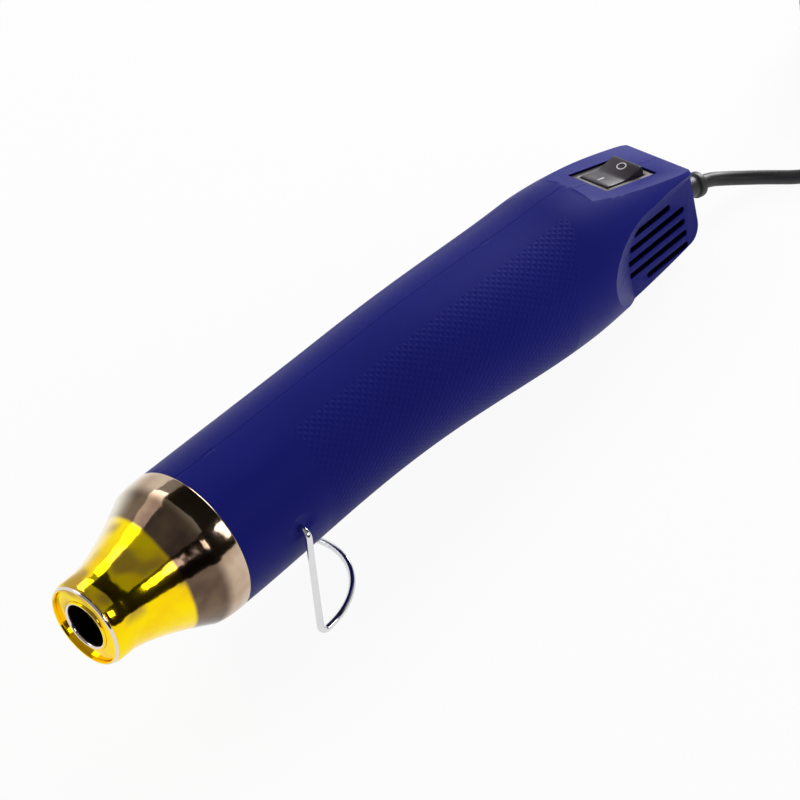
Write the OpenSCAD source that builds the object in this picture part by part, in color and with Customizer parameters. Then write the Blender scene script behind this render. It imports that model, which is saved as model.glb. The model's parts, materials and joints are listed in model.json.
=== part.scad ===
// Embossing heat tool: slim hot-air barrel with a tinted steel bell nozzle,
// two half shells, a rocker switch, a swing-down wire stand and a mains lead.
// The tool is drawn along x (nozzle tip at x = 0, tail at +x), then turned to
// its rest pose: on the wire stand in front and on its belly behind.

/* [Housing] */
// Length of the whole tool, nozzle tip to tail
tool_len = 236; // [226:1:250]
// Radius of the housing where the nozzle collar meets it
front_r = 22.3; // [21.8:0.1:23]
// Radius of the housing at the waist
waist_r = 21.4; // [20.9:0.1:22.4]
// Where the waist lies along the tool
waist_x = 100; // [90:1:112]
// How far the waist is drawn up
waist_rise = 0.8; // [0:0.1:1.5]
// Radius of the housing at its swell behind the grip
swell_r = 23.3; // [22.5:0.1:24.5]
// Where the swell lies along the tool
swell_x = 187; // [180:1:192]
// How far the swell is dropped
swell_drop = 4.2; // [3:0.1:5]
// Radius of the housing at the tail
tail_r = 17.1; // [16.4:0.1:18]
// How far the tail is dropped
tail_drop = 7.5; // [6.5:0.1:8.5]
// Rounding under the tail
tail_round = 4; // [2:0.5:6]
// Wall of the half shells
wall = 2.2; // [1.8:0.1:2.6]
// Facets round each section of the shells
ring_n = 32; // [24:4:40]

/* [Switch plate] */
// Tilt of the switch plate, falling toward the tail
plate_tilt = 18; // [14:1:22]
// Height of the plate above the axis, at the tail
plate_end_z = 3.8; // [3:0.1:5.5]
// Where the plate begins along the tool
plate_x = 199; // [196:1:202]
// Thickness of the plate
plate_t = 3.4; // [3.2:0.1:4]
// Centre of the switch along the tool
switch_x = 217.3; // [216:0.1:219]
// Length of the switch bezel
bezel_len = 21; // [20:0.1:21.6]
// Width of the switch bezel
bezel_w = 15; // [14.4:0.1:15.6]
// Thickness of the switch bezel
bezel_t = 1; // [0.8:0.1:1.3]
// How far the bezel sits below the plate
bezel_sink = 0.6; // [0.3:0.1:0.9]
// Length of the switch's body behind the plate
switch_body_len = 18.8; // [18:0.1:19]
// Width of the switch's body behind the plate
switch_body_w = 12.8; // [12.2:0.1:13]
// Depth of the switch's body behind the bezel
switch_depth = 12; // [10:0.5:13]
// Radius that the ends of the rocker sweep
rocker_r = 7.9; // [7.4:0.1:8]
// Width of the rocker
rocker_w = 10.6; // [10:0.1:10.8]
// Angle of each rocker face from its middle plane
rocker_tilt = 11; // [8:1:12]

/* [Vents] */
// Half width of the tail between its vent panels
panel_y = 12; // [11.5:0.1:12.6]
// Number of vent slots in each panel
slot_n = 5; // [3:1:5]
// Height of one vent slot
slot_h = 2.1; // [1.2:0.1:2.2]
// Distance from slot to slot
slot_pitch = 4.05; // [3.8:0.05:4.2]
// Height of the top slot, from the axis
slot_top_z = -3.2; // [-3.6:0.1:-2.8]

/* [Nozzle] */
// Radius of the rolled rim at the nozzle tip
rim_r = 12.5; // [12.2:0.1:13]
// Radius of the nozzle neck
neck_r = 12.9; // [12.6:0.1:13.4]
// Where the flare begins
flare_x = 7; // [6:0.5:9]
// Where the flare meets the collar
shoulder_x = 33; // [31:0.5:35]
// Radius at the top of the flare
shoulder_r = 21.8; // [21.4:0.1:22]
// How steeply the flare opens
flare_power = 1.45; // [1.3:0.05:1.6]
// Where the collar ends and the housing begins
collar_x = 41.2; // [40:0.2:43]
// Radius of the collar
collar_r = 22.5; // [22.2:0.1:23]
// Sheet thickness of the bell
bell_t = 0.8; // [0.6:0.1:1]
// Radius of the hot-air outlet
outlet_r = 6.7; // [6:0.1:7.2]
// Length of the outlet tube behind the end plate
outlet_len = 6; // [5:0.5:8]
// Radius of the bell's spigot inside the housing
spigot_r = 19.8; // [19.4:0.1:19.9]
// Length of the spigot
spigot_len = 9; // [8:0.5:11]

/* [Heater] */
// Outer radius of the mica sleeve
sleeve_r = 11.4; // [11:0.1:11.7]
// Wall of the mica sleeve
sleeve_t = 0.6; // [0.4:0.1:0.7]
// Length of the mica sleeve
sleeve_len = 50; // [46:1:52]
// Width of the crossed mica boards
mica_w = 18; // [16.8:0.2:18.4]
// Length of the crossed mica boards
mica_len = 46; // [42:1:47]
// Thickness of the crossed mica boards
mica_t = 0.8; // [0.5:0.1:1]
// Turns of the heater winding
heater_turns = 9; // [6:1:10]
// Distance from turn to turn of the winding
heater_pitch = 4; // [3:0.1:4]
// Diameter of the winding's wire
heater_wire = 0.9; // [0.6:0.1:1]
// Thickness of the heater's carrier disc
disc_t = 1.4; // [1:0.1:1.8]

/* [Motor and fan] */
// Radius of the motor can
motor_r = 13.8; // [12.5:0.1:14]
// Length of the motor can
motor_len = 30; // [26:1:32]
// Where the motor's front face lies
motor_x = 118; // [116:1:122]
// Radius of the motor shaft
shaft_r = 1; // [0.9:0.05:1.2]
// Radius of the fan over its blades
fan_r = 17.6; // [16.5:0.1:17.8]
// Radius of the fan hub
hub_r = 6.5; // [5.5:0.5:8]
// Depth of the fan hub
fan_depth = 11; // [9:0.5:13]
// Number of fan blades
blade_n = 7; // [5:1:9]
// Angle of the fan blades
blade_pitch = 38; // [30:1:45]
// Thickness of a fan blade
blade_t = 1.2; // [1:0.1:1.6]
// Radial clearance of the shaft in its bearings
bearing_gap = 0.05; // [0.03:0.01:0.09]

/* [Stand] */
// Diameter of the stand wire
wire_d = 2; // [1.8:0.1:2.4]
// Where the stand's hinge lies along the tool
hinge_x = 62; // [60:0.5:66]
// Height of the stand's hinge from the tool's axis
hinge_z = -1; // [-3:0.5:0]
// Half width between the stand's legs
leg_y = 24.4; // [24.2:0.1:25.5]
// Height of the hinge above the foot bow, wire middle to middle
leg_drop = 33.5; // [32:0.5:37]
// How far the legs lean forward
leg_lean = 10; // [4:1:12]
// Straight run of the foot before the bow
foot_run = 0.3; // [0.2:0.1:4]
// Bend radius of the wire's corners
wire_bend = 2.2; // [2.1:0.1:3.2]

/* [Fasteners] */
// Radius of a housing screw's shank
screw_r = 1.4; // [1.2:0.1:1.6]
// Radius of a housing screw's head
head_r = 2.7; // [2.4:0.1:3]
// Radius of the screw bosses
boss_r = 4; // [3.7:0.1:4.4]

/* [Lead] */
// Diameter of the mains lead
cord_d = 4.3; // [3.8:0.1:4.4]
// Downward tilt of the strain relief
relief_tilt = 16; // [10:1:18]
// Height of the lead where it leaves the tail
relief_z = -11; // [-12:0.5:-9]
// Length of the strain relief outside the tail
relief_len = 15.2; // [14:0.2:17]
// Mean radius of the put-away coil
coil_r = 22.5; // [22:0.5:23]
// Turns in each of the coil's four layers
coil_turns = 2.13; // [1.63:0.25:2.13]
// Distance from turn to turn of the coil
coil_pitch = 4.8; // [4.7:0.1:5]
// Width of the plug
plug_w = 33; // [30:1:36]
// Thickness of the plug
plug_t = 13.6; // [12.6:0.1:14]
// Radius of the plug's pins
pin_r = 2; // [1.9:0.1:2.4]
// Length of the plug's pins
pin_len = 19; // [17:0.5:19]
// Distance between the pins
pin_gap = 18.6; // [17.5:0.1:19]

/* [Hidden] */
$fn = 48;
// How late the middle line drops between the waist and the swell
drop_power = 1.3;
gap = 0.1;
eps = 0.01;

blue = [0.11, 0.13, 0.45];
gold = [0.93, 0.76, 0.12];
steel = [0.74, 0.74, 0.76];
mica = [0.72, 0.66, 0.52];
black = [0.09, 0.08, 0.10];
brass = [0.80, 0.66, 0.35];
copper = [0.75, 0.42, 0.25];
green = [0.16, 0.38, 0.22];

// Section of the housing along the tool
function clamp01(t) = max(0, min(1, t));
function smooth(t) = let (u = clamp01(t)) u * u * (3 - 2 * u);
function ease(t) = pow(clamp01(t), 1.6);
function between(x, x0, x1) = (x - x0) / (x1 - x0);
// 0 up to the tail's rounding, then the depth that it takes off the bottom
function rounding(x) = let (u = clamp01(between(x, tool_len - tail_round, tool_len)))
    tail_round * (1 - sqrt(1 - u * u * 0.999));
function body_r(x) = x < waist_x
    ? front_r + (waist_r - front_r) * smooth(between(x, collar_x, waist_x))
    : x < swell_x
    ? waist_r + (swell_r - waist_r) * smooth(between(x, waist_x, swell_x))
    : swell_r + (tail_r - swell_r) * ease(between(x, swell_x, tool_len)) - rounding(x) / 2;
function body_z(x) = x < waist_x
    ? waist_rise * smooth(between(x, collar_x, waist_x))
    : x < swell_x
    ? waist_rise - (waist_rise + swell_drop) * smooth(pow(between(x, waist_x, swell_x), drop_power))
    : -swell_drop - (tail_drop - swell_drop) * ease(between(x, swell_x, tool_len)) + rounding(x) / 2;
RINGS = 16;
function ring_x(x0, x1) = concat(
    [for (i = [0:RINGS]) x0 + (x1 - tail_round - x0) * i / RINGS],
    [for (a = [30, 60, 90]) x1 - tail_round + tail_round * sin(a)]);

// Rest pose: the height of the hinge over the foot sets the tilt
belly = [for (x = ring_x(collar_x, tool_len)) [x, body_z(x) - body_r(x)]];
stand_h = leg_drop + wire_d / 2;
function low(t) = min([for (p = belly) p[1] * cos(t) - p[0] * sin(t)]);
function rise(t) = hinge_z * cos(t) - hinge_x * sin(t) - low(t);
function solve(lo, hi, n) = n == 0 ? (lo + hi) / 2
    : let (m = (lo + hi) / 2) rise(m) > stand_h ? solve(lo, m, n - 1) : solve(m, hi, n - 1);
tilt = solve(0, 15, 30);
rest_z = -low(tilt);
rest_x0 = -rim_r * sin(tilt);
rest_x1 = tool_len * cos(tilt) + plate_end_z * sin(tilt);
rest_x = -(rest_x0 + rest_x1) / 2;
module rest() translate([rest_x, 0, rest_z]) rotate([0, tilt, 0]) children();
function at_rest(p) = [rest_x + p[0] * cos(tilt) + p[2] * sin(tilt), p[1],
    rest_z - p[0] * sin(tilt) + p[2] * cos(tilt)];

// Plate, switch and tail
plate_slope = tan(plate_tilt);
switch_z = plate_end_z + plate_slope * (tool_len - switch_x);
pocket_gap = 0.2;
body_gap = 0.1;
pocket_d = bezel_sink + bezel_t;
pivot_z = -bezel_sink - 1.6;
rocker_rest = -rocker_tilt;
rocker_pin_r = 1;
rocker_pin_gap = 0.06;
rocker_side_gap = 0.25;
well_len = 2 * rocker_r + 0.7;
well_w = rocker_w + 2 * rocker_side_gap;
well_depth = 6.5;
terminal = [4.8, 0.8, 7];
terminal_x = 4.7;
panel_front_x = 206.2;
panel_corner_r = 11.3;
panel_corner_z = -12.5;
scoop_front_x = 188.5;
scoop_corner_r = 21.5;
scoop_corner_z = -7;
scoop_out = 12;
slot_x0 = [210, 207.6, 206, 205.5, 212.4];
slot_x1 = [226.2, 231.5, 231, 231, 230.7];

// Nozzle and heater
plate_in = 0.9;
sleeve_x = 5.6;
spigot_x1 = collar_x + spigot_len;
seat_r = spigot_r + gap;
bead_w = 2;
bead_h = 0.9;
bead_x = collar_x + 4;
disc_x = spigot_x1 + gap;
seat_x1 = disc_x + disc_t + 0.1;
mica_x = sleeve_x + 2;
heater_x = mica_x + 3;
winding_r = mica_w / 2 + heater_wire / 2 + 0.03;
cutout_r = 2;
cutout_len = 10;
cutout_z = 15.4;

// Motor line
mount_t = 2.5;
mount_r = 18.2;
boss_front = 1.6;
boss_front_r = 5;
fan_x = motor_x - mount_t - 3 - fan_depth;
blade_set_in = 0.4;
cap_t = 3;
cap_x = motor_x + motor_len;
motor_screw_y = 8;
shaft_x0 = fan_x - 1;
shaft_x1 = cap_x + cap_t - 0.4;
board_gap = 3;
board_t = 1.2;
board_x = cap_x + cap_t + board_gap;
board = [board_t, 20, 18];

// Stand
wire_r = wire_d / 2;
stand_pin_r = wire_r + 0.03;
hinge_gap = 0.06;
pin_in = 4.6;
dish_r = 6.2;
dish_d = 0.8;
dish_ball = (dish_r * dish_r + dish_d * dish_d) / (2 * dish_d);
dish_x = hinge_x + 0.7;
dish_z = hinge_z + 0.4;
leg_len = leg_drop / cos(leg_lean);
boss_in = leg_y - wire_bend - pin_in;

// Housing screws: places along the tool and from its axis
screws = [[80, 12], [80, -13.2], [170, 9], [184, -20.5]];
screw_seat = 6;
head_h = 2;
thread_in = 8;

// Lead
relief_in = 5;
relief_base_r = 4.4;
relief_neck_r = 3.3;
relief_ring_r = 3.9;
clamp_x = 226;
clamp_len = 5;
clamp_span = 13;
clamp_t = 2.4;
cord_r = cord_d / 2;
relief_dir = [cos(relief_tilt), 0, -sin(relief_tilt)];
relief_end = at_rest([tool_len + relief_len * relief_dir[0], 0,
    relief_z + relief_len * relief_dir[2]]);
relief_out = let (t = tilt + relief_tilt) [cos(t), 0, -sin(t)];
// Height of the lead's middle where it lies on the floor
cord_z = cord_r;
coil_c = [224, 0];
coil_layer = 4.6;
// Height of the coil's first layer, which lies on the tie
coil_z = cord_r + 0.75;
coil_bulge = 0.9;
coil_in_r = coil_r - coil_pitch * coil_turns / 2;
coil_out_r = coil_r + coil_pitch * coil_turns / 2;
coil_start = 272;
// The free stretch, by hand, from the strain relief to the coil
cord_pts = [[136.4, -0.5, 7.2], [138.7, -1.4, 6.1], [141.7, -3.2, 4.8], [145.2, -6.3, 3.6],
    [148.3, -9.8, 2.8], [151, -13.6, 2.3], [153.5, -17.7, cord_z], [157.3, -22.4, cord_z],
    [163, -26.6, cord_z], [172, -29.5, cord_z], [184, -30.6, cord_z], [198, -29.8, cord_z],
    [209, -28.7, cord_z + 0.25]];
// The end between the coil and the plug, by hand
end_pts = [[243.5, -25.1, 15.4], [250, -24.4, 12], [257, -23.4, 8.4]];
plug_at = [268, -21];
plug_turn = 14;
plug_tail = 12;
plug_len = 34;

neck_in_r = rim_r - bell_t - 0.1;
motor_screw_r = 1.2;
diode_r = 1.35;
rocker_mid = 2.1;
relief_hole_r = 4;
clamp_screw_r = 1.1;
clamp_holes = [relief_z - 5, relief_z + 5];
sleeve_out = 10;
echo(tilt = tilt, rest_x = rest_x, rest_z = rest_z);
echo(relief_end = relief_end, relief_out = relief_out);

module tube_x(r0, r1, x0, x1) rotate([0, 90, 0]) translate([0, 0, x0]) difference() {
    cylinder(r = r0, h = x1 - x0);
    translate([0, 0, -1]) cylinder(r = r1, h = x1 - x0 + 2);
}
module rod_x(r, x0, x1) translate([x0, 0, 0]) rotate([0, 90, 0]) cylinder(r = r, h = x1 - x0);
module rod_y(r, y0, y1) translate([0, y0, 0]) rotate([-90, 0, 0]) cylinder(r = r, h = y1 - y0);

// Solid through sections: each ring runs round +x
module skin(rings) {
    n = len(rings[0]);
    m = len(rings);
    polyhedron(points = [for (r = rings) each r], faces = concat(
        [for (j = [1:n - 2]) [0, j, j + 1]],
        [for (j = [1:n - 2]) [(m - 1) * n, (m - 1) * n + j + 1, (m - 1) * n + j]],
        [for (i = [0:m - 2], j = [0:n - 1]) let (k = (j + 1) % n)
            [i * n + j, (i + 1) * n + j, (i + 1) * n + k]],
        [for (i = [0:m - 2], j = [0:n - 1]) let (k = (j + 1) % n)
            [i * n + j, (i + 1) * n + k, i * n + k]]));
}
// Tube of radius r with n sides along the points p
function unit(v) = v / norm(v);
function heading(p, i) = unit(p[min(i + 1, len(p) - 1)] - p[max(i - 1, 0)]);
function round_at(c, t, r, n, side) = let (s = unit(cross(t, side)), u = cross(t, s))
    [for (k = [0:n - 1]) let (a = 90 + 360 * k / n) c + r * (cos(a) * s + sin(a) * u)];
module sweep(p, r, n, side = [0, 0, 1]) skin([for (i = [0:len(p) - 1])
    round_at(p[i], heading(p, i), r, n, side)]);

module outer_half() skin([for (x = ring_x(collar_x, tool_len))
    [for (i = [0:ring_n / 2]) let (a = -90 + 360 * i / ring_n)
        [x, body_r(x) * cos(a), body_z(x) + body_r(x) * sin(a)]]]);
module inner_body(x0) skin([for (x = ring_x(x0, tool_len - wall))
    [for (i = [0:ring_n - 1]) let (a = 360 * i / ring_n)
        [x, (body_r(x) - wall) * cos(a), body_z(x) + (body_r(x) - wall) * sin(a)]]]);
function plate_z(x) = plate_end_z + plate_slope * (tool_len - x);
// All that lies above the plate, and its lip, lowered by d
module over_plate(d, lip) translate([0, 40, 0]) rotate([90, 0, 0]) linear_extrude(80)
    polygon([[plate_x - lip, plate_z(plate_x) - d], [plate_x - lip - 2, 30], [tool_len + 10, 30],
        [tool_len + 10, plate_z(tool_len + 10) - d]]);
// The scooped side of the tail, from the panel outward, shifted inward by d
module scoop(d) hull() {
    translate([0, panel_y - d, 0]) rotate([-90, 0, 0]) linear_extrude(eps)
        scoop_shape(panel_front_x, panel_corner_r, panel_corner_z, 2);
    translate([0, panel_y + scoop_out - d, 0]) rotate([-90, 0, 0]) linear_extrude(eps)
        scoop_shape(scoop_front_x, scoop_corner_r, scoop_corner_z, 22);
}
module scoop_shape(x0, r, z, top) hull() {
    translate([x0 + r, -z]) circle(r, $fn = 32);
    translate([x0, -z]) square([tool_len + 12 - x0, 40]);
    translate([tool_len + 11, -top]) square([1, 40]);
}
module slots() for (k = [0:slot_n - 1]) hull() for (x = [slot_x0[k] + slot_h / 2, slot_x1[k] - slot_h / 2])
    translate([x, 0, slot_top_z - k * slot_pitch]) rod_y(slot_h / 2, panel_y - wall - 0.6, panel_y + 8);
module at_switch() translate([switch_x, 0, switch_z]) rotate([0, plate_tilt, 0]) children();
module block(size, z0) translate([-size[0] / 2, -size[1] / 2, z0]) cube(size);

// Ribs, seats and bosses that both halves carry, for the half at +y
module half_inside() {
    for (a = [-40, 40]) rotate([a, 0, 0]) translate([motor_x + 3, motor_r + 0.15, -0.8])
        cube([motor_len - 8, 10, 1.6]);
    for (x = [motor_x - mount_t - 1.3, motor_x + gap]) tube_x(24, 17.2, x, x + 1.2);
    translate([hinge_x, 0, hinge_z]) rod_y(3.6, boss_in, 24);
    for (s = screws) translate([s[0], 0, s[1]]) rod_y(boss_r, 0, 24);
}
module half_shell() difference() {
    outer_half();
    difference() {
        inner_body(seat_x1 + 2);
        half_inside();
        over_plate(plate_t / cos(plate_tilt), 2 + wall);
        scoop(wall);
        children();
    }
    rod_x(seat_r, collar_x - 1, seat_x1);
    rod_x(17.4, seat_x1 - 1, seat_x1 + 3);
    rod_x(seat_r + bead_h, bead_x - gap, bead_x + bead_w + gap);
    over_plate(0, 0);
    scoop(0);
    slots();
    at_switch() {
        block([bezel_len + 2 * pocket_gap, bezel_w + 2 * pocket_gap, 9], -pocket_d);
        block([switch_body_len + 2 * body_gap, switch_body_w + 2 * body_gap, 30], -15);
    }
    translate([hinge_x, 0, hinge_z]) rod_y(stand_pin_r + hinge_gap, boss_in - 1, 30);
    translate([dish_x, front_r - dish_d + dish_ball, dish_z]) sphere(dish_ball, $fn = 96);
    translate([0, 0, relief_z]) rod_x(relief_hole_r, tool_len - wall - 2, tool_len + 1);
}

module housing_left() color(blue) rest() difference() {
    mirror([0, 1, 0]) half_shell() clamp_seat();
    for (s = screws) translate([s[0], 0, s[1]]) rod_y(screw_r, -thread_in - 1, 1);
    for (z = clamp_holes) translate([clamp_x, 0, z]) rod_y(clamp_screw_r, -8, 1);
}
module clamp_seat() translate([clamp_x - clamp_len / 2, cord_r, relief_z - clamp_span / 2])
    cube([clamp_len, 12, clamp_span]);
module housing_right() color(blue) rest() difference() {
    half_shell();
    for (s = screws) translate([s[0], 0, s[1]]) {
        rod_y(screw_r + 0.2, -1, 20);
        rod_y(head_r + 0.3, screw_seat, 30);
    }
}

// Outline of the bell's sheet: outside from the tip, then back inside
flare_n = 14;
bead_rim = 0.7;
neck_x = 2;
function flare(t) = [flare_x + (shoulder_x - flare_x) * t,
    neck_r + (shoulder_r - neck_r) * pow(t, flare_power)];
function bell_outside() = concat(
    [for (a = [200:-20:40]) [bead_rim + bead_rim * cos(a), rim_r - bead_rim + bead_rim * sin(a)]],
    [[neck_x, neck_r]],
    [for (i = [0:flare_n]) flare(i / flare_n)],
    [[shoulder_x + 3, collar_r - 0.15], [collar_x - 0.4, collar_r], [collar_x, collar_r - 0.4],
        [collar_x, spigot_r], [bead_x, spigot_r], [bead_x + 0.5, spigot_r + bead_h],
        [bead_x + bead_w - 0.5, spigot_r + bead_h], [bead_x + bead_w, spigot_r], [spigot_x1, spigot_r]]);
function bell_inside() = concat(
    [[spigot_x1, spigot_r - bell_t], [collar_x - bell_t, spigot_r - bell_t],
        [collar_x - bell_t, collar_r - bell_t], [shoulder_x + 3, collar_r - bell_t - 0.15]],
    [for (i = [flare_n:-1:1]) flare(i / flare_n) + [bell_t * 0.3, -bell_t]],
    [[flare_x, neck_in_r], [bead_rim, neck_in_r]]);
module turned(p) rotate([0, 90, 0]) rotate_extrude($fn = 96) polygon([for (q = p) [q[1], q[0]]]);
module nozzle_bell() color(gold) rest() turned(concat(bell_outside(), bell_inside()));
module outlet_plate() color(gold) rest() turned(concat(
    [[outlet_len, outlet_r], [outlet_len, outlet_r + 0.6], [plate_in + 0.7, outlet_r + 0.6],
        [plate_in + 0.7, neck_in_r - 0.6], [plate_in + 3, neck_in_r - 0.6], [plate_in + 3, neck_in_r],
        [plate_in, neck_in_r], [plate_in, outlet_r + 1.2]],
    [for (a = [0:30:180]) [plate_in - 0.1 - 0.6 * sin(a), outlet_r + 0.6 + 0.6 * cos(a)]]));

module heater_sleeve() color(mica) rest()
    tube_x(sleeve_r, sleeve_r - sleeve_t, sleeve_x, sleeve_x + sleeve_len);
module mica_board_upright() color(mica) rest() difference() {
    translate([mica_x, -mica_t / 2, -mica_w / 2]) cube([mica_len, mica_t, mica_w]);
    translate([mica_x + mica_len / 2, -5, -mica_t / 2 - 0.05]) cube([mica_len, 10, mica_t + 0.1]);
}
module mica_board_flat() color(mica) rest() difference() {
    translate([mica_x, -mica_w / 2, -mica_t / 2]) cube([mica_len, mica_w, mica_t]);
    translate([mica_x - mica_len / 2, -mica_t / 2 - 0.05, -5]) cube([mica_len, mica_t + 0.1, 10]);
}
winding_n = 16;
module heater_winding() color(copper) rest() rotate([0, 90, 0]) translate([0, 0, heater_x])
    sweep([for (i = [0:heater_turns * winding_n]) let (a = 360 * i / winding_n)
        [winding_r * cos(a), winding_r * sin(a), heater_pitch * i / winding_n]], heater_wire / 2, 6);
module heater_disc() color(mica) rest() tube_x(spigot_r, sleeve_r + 0.05, disc_x, disc_x + disc_t);
module thermal_cutout() color(steel) rest() translate([0, 0, cutout_z])
    rod_x(cutout_r, disc_x + disc_t, disc_x + disc_t + cutout_len);

module at_motor_screws() for (y = [-motor_screw_y, motor_screw_y]) translate([0, y, 0]) children();
module motor_can() color(steel) rest() difference() {
    union() {
        rod_x(motor_r, motor_x, cap_x);
        rod_x(boss_front_r, motor_x - boss_front, motor_x + 1);
    }
    rod_x(motor_r - 1, motor_x + 1, cap_x + 1);
    rod_x(shaft_r + bearing_gap, motor_x - 5, motor_x + 5);
    at_motor_screws() rod_x(motor_screw_r, motor_x - 1, motor_x + 2);
}
module motor_end_cap() color(black) rest() difference() {
    union() {
        rod_x(motor_r - 1, cap_x - 1, cap_x + 1);
        rod_x(motor_r, cap_x, cap_x + cap_t);
        for (y = [-6, 6]) translate([cap_x, y - 0.3, -1.25]) cube([cap_t + board_gap, 0.6, 2.5]);
    }
    rod_x(shaft_r + bearing_gap, cap_x - 2, cap_x + cap_t + 1);
}
module motor_magnets() color(black) rest() difference() {
    tube_x(motor_r - 1, motor_r - 3.4, motor_x + 4, cap_x - 5);
    translate([motor_x, -motor_r, -4]) cube([motor_len, 2 * motor_r, 8]);
}
module motor_armature() color(copper) rest() difference() {
    union() {
        rod_x(motor_r - 3.9, motor_x + 5, cap_x - 7);
        rod_x(3, cap_x - 8, cap_x - 2.5);
    }
    rod_x(shaft_r, motor_x, cap_x);
    for (k = [0:2]) rotate([120 * k, 0, 0]) translate([motor_x + 4, -0.7, 6])
        cube([motor_len - 11.5, 1.4, 9]);
}
module motor_shaft() color(steel) rest() rod_x(shaft_r, shaft_x0, shaft_x1);
module fan_impeller() color(black) rest() difference() {
    union() {
        rod_x(hub_r, fan_x, fan_x + fan_depth);
        intersection() {
            rod_x(fan_r, fan_x, fan_x + fan_depth);
            for (k = [0:blade_n - 1]) rotate([360 * k / blade_n, 0, 0])
                translate([fan_x + fan_depth / 2, 0, 4.4]) rotate([0, 0, blade_pitch])
                    block([blade_chord, blade_t, fan_r], 0);
        }
    }
    rod_x(shaft_r, fan_x - 1, fan_x + fan_depth + 1);
}
blade_chord = (fan_depth - 2 * blade_set_in - blade_t * sin(blade_pitch)) / cos(blade_pitch);
module motor_mount() color(black) rest() difference() {
    tube_x(mount_r, boss_front_r + gap, motor_x - mount_t, motor_x);
    difference() {
        tube_x(16.6, 12, motor_x - mount_t - 1, motor_x + 1);
        for (a = [0, 90]) rotate([a, 0, 0]) translate([motor_x - 5, -2.5, -20]) cube([8, 5, 40]);
    }
    at_motor_screws() rod_x(motor_screw_r + gap, motor_x - 5, motor_x + 1);
}
module motor_screws() color(steel) rest() at_motor_screws() {
    rod_x(2.2, motor_x - mount_t - 1.3, motor_x - mount_t);
    rod_x(motor_screw_r, motor_x - mount_t - 0.5, motor_x + 2.5);
}
module rectifier_board() color(green) rest() translate([board_x, -board[1] / 2, -board[2] / 2])
    cube(board);
module rectifier_diodes() color(black) rest() for (y = [-7, -2.5, 2.5, 7])
    translate([board_x + board_t + diode_r, y, -7]) cylinder(r = diode_r, h = 5);
module smoothing_capacitor() color(blue) rest() translate([0, 0, 4])
    rod_x(3.2, board_x + board_t, board_x + board_t + 8);

module switch_frame() color(black) rest() at_switch() difference() {
    union() {
        block([bezel_len, bezel_w, bezel_t], -pocket_d);
        block([switch_body_len, switch_body_w, switch_depth + 0.5], -pocket_d - switch_depth);
    }
    block([well_len, well_w, 20], -bezel_sink - well_depth);
    translate([0, 0, pivot_z]) rod_y(rocker_pin_r + rocker_pin_gap, -well_w / 2 - 0.6, well_w / 2 + 0.6);
}
module switch_terminals() color(brass) rest() at_switch() for (x = [-terminal_x, terminal_x])
    translate([x, 0, 0]) block([terminal[1], terminal[0], terminal[2]],
        -pocket_d - switch_depth - terminal[2]);
module rocker() color(black) rest() at_switch() translate([0, 0, pivot_z]) rotate([0, rocker_rest, 0]) {
    intersection() {
        rod_y(rocker_r, -rocker_w / 2, rocker_w / 2);
        translate([0, rocker_w / 2, 0]) rotate([90, 0, 0]) linear_extrude(rocker_w)
            polygon([[0, rocker_mid], [12, rocker_mid + 12 * tan(rocker_tilt)], [12, -2.5], [-12, -2.5],
                [-12, rocker_mid + 12 * tan(rocker_tilt)]]);
    }
    rod_y(rocker_pin_r, -well_w / 2 - 0.5, well_w / 2 + 0.5);
}

// The wire, in a frame at the hinge that stands upright in the rest pose
turn_a = 90 + leg_lean;
turn_t = wire_bend * tan(turn_a / 2);
foot_x = -leg_drop * tan(leg_lean);
bow_x = foot_x + turn_t + foot_run;
function lean(p) = [p[0] * cos(leg_lean) + p[2] * sin(leg_lean), p[1],
    p[2] * cos(leg_lean) - p[0] * sin(leg_lean)];
wire_side = concat(
    [lean([0, leg_y - wire_bend - 1, 0])],
    [for (i = [0:6]) let (a = 90 - 15 * i)
        lean([0, leg_y - wire_bend + wire_bend * cos(a), wire_bend * sin(a) - wire_bend])],
    [for (i = [0:6]) let (a = 180 - leg_lean + turn_a * i / 6)
        [foot_x + turn_t + wire_bend * cos(a), leg_y, wire_bend - leg_drop + wire_bend * sin(a)]]);
wire_bow = [for (i = [0:24]) let (a = 90 - 180 * i / 24) [bow_x + leg_y * cos(a), leg_y * sin(a), -leg_drop]];
wire_path = concat(wire_side, wire_bow,
    [for (i = [len(wire_side) - 1:-1:0]) [wire_side[i][0], -wire_side[i][1], wire_side[i][2]]]);
module wire_stand() color(steel) rest() translate([hinge_x, 0, hinge_z]) rotate([0, -tilt, 0]) {
    sweep(wire_path, wire_r, 12, [0.3, 0.5, 1]);
    for (s = [0, 1]) mirror([0, s, 0]) rod_y(stand_pin_r, boss_in, leg_y - wire_bend);
}

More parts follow.
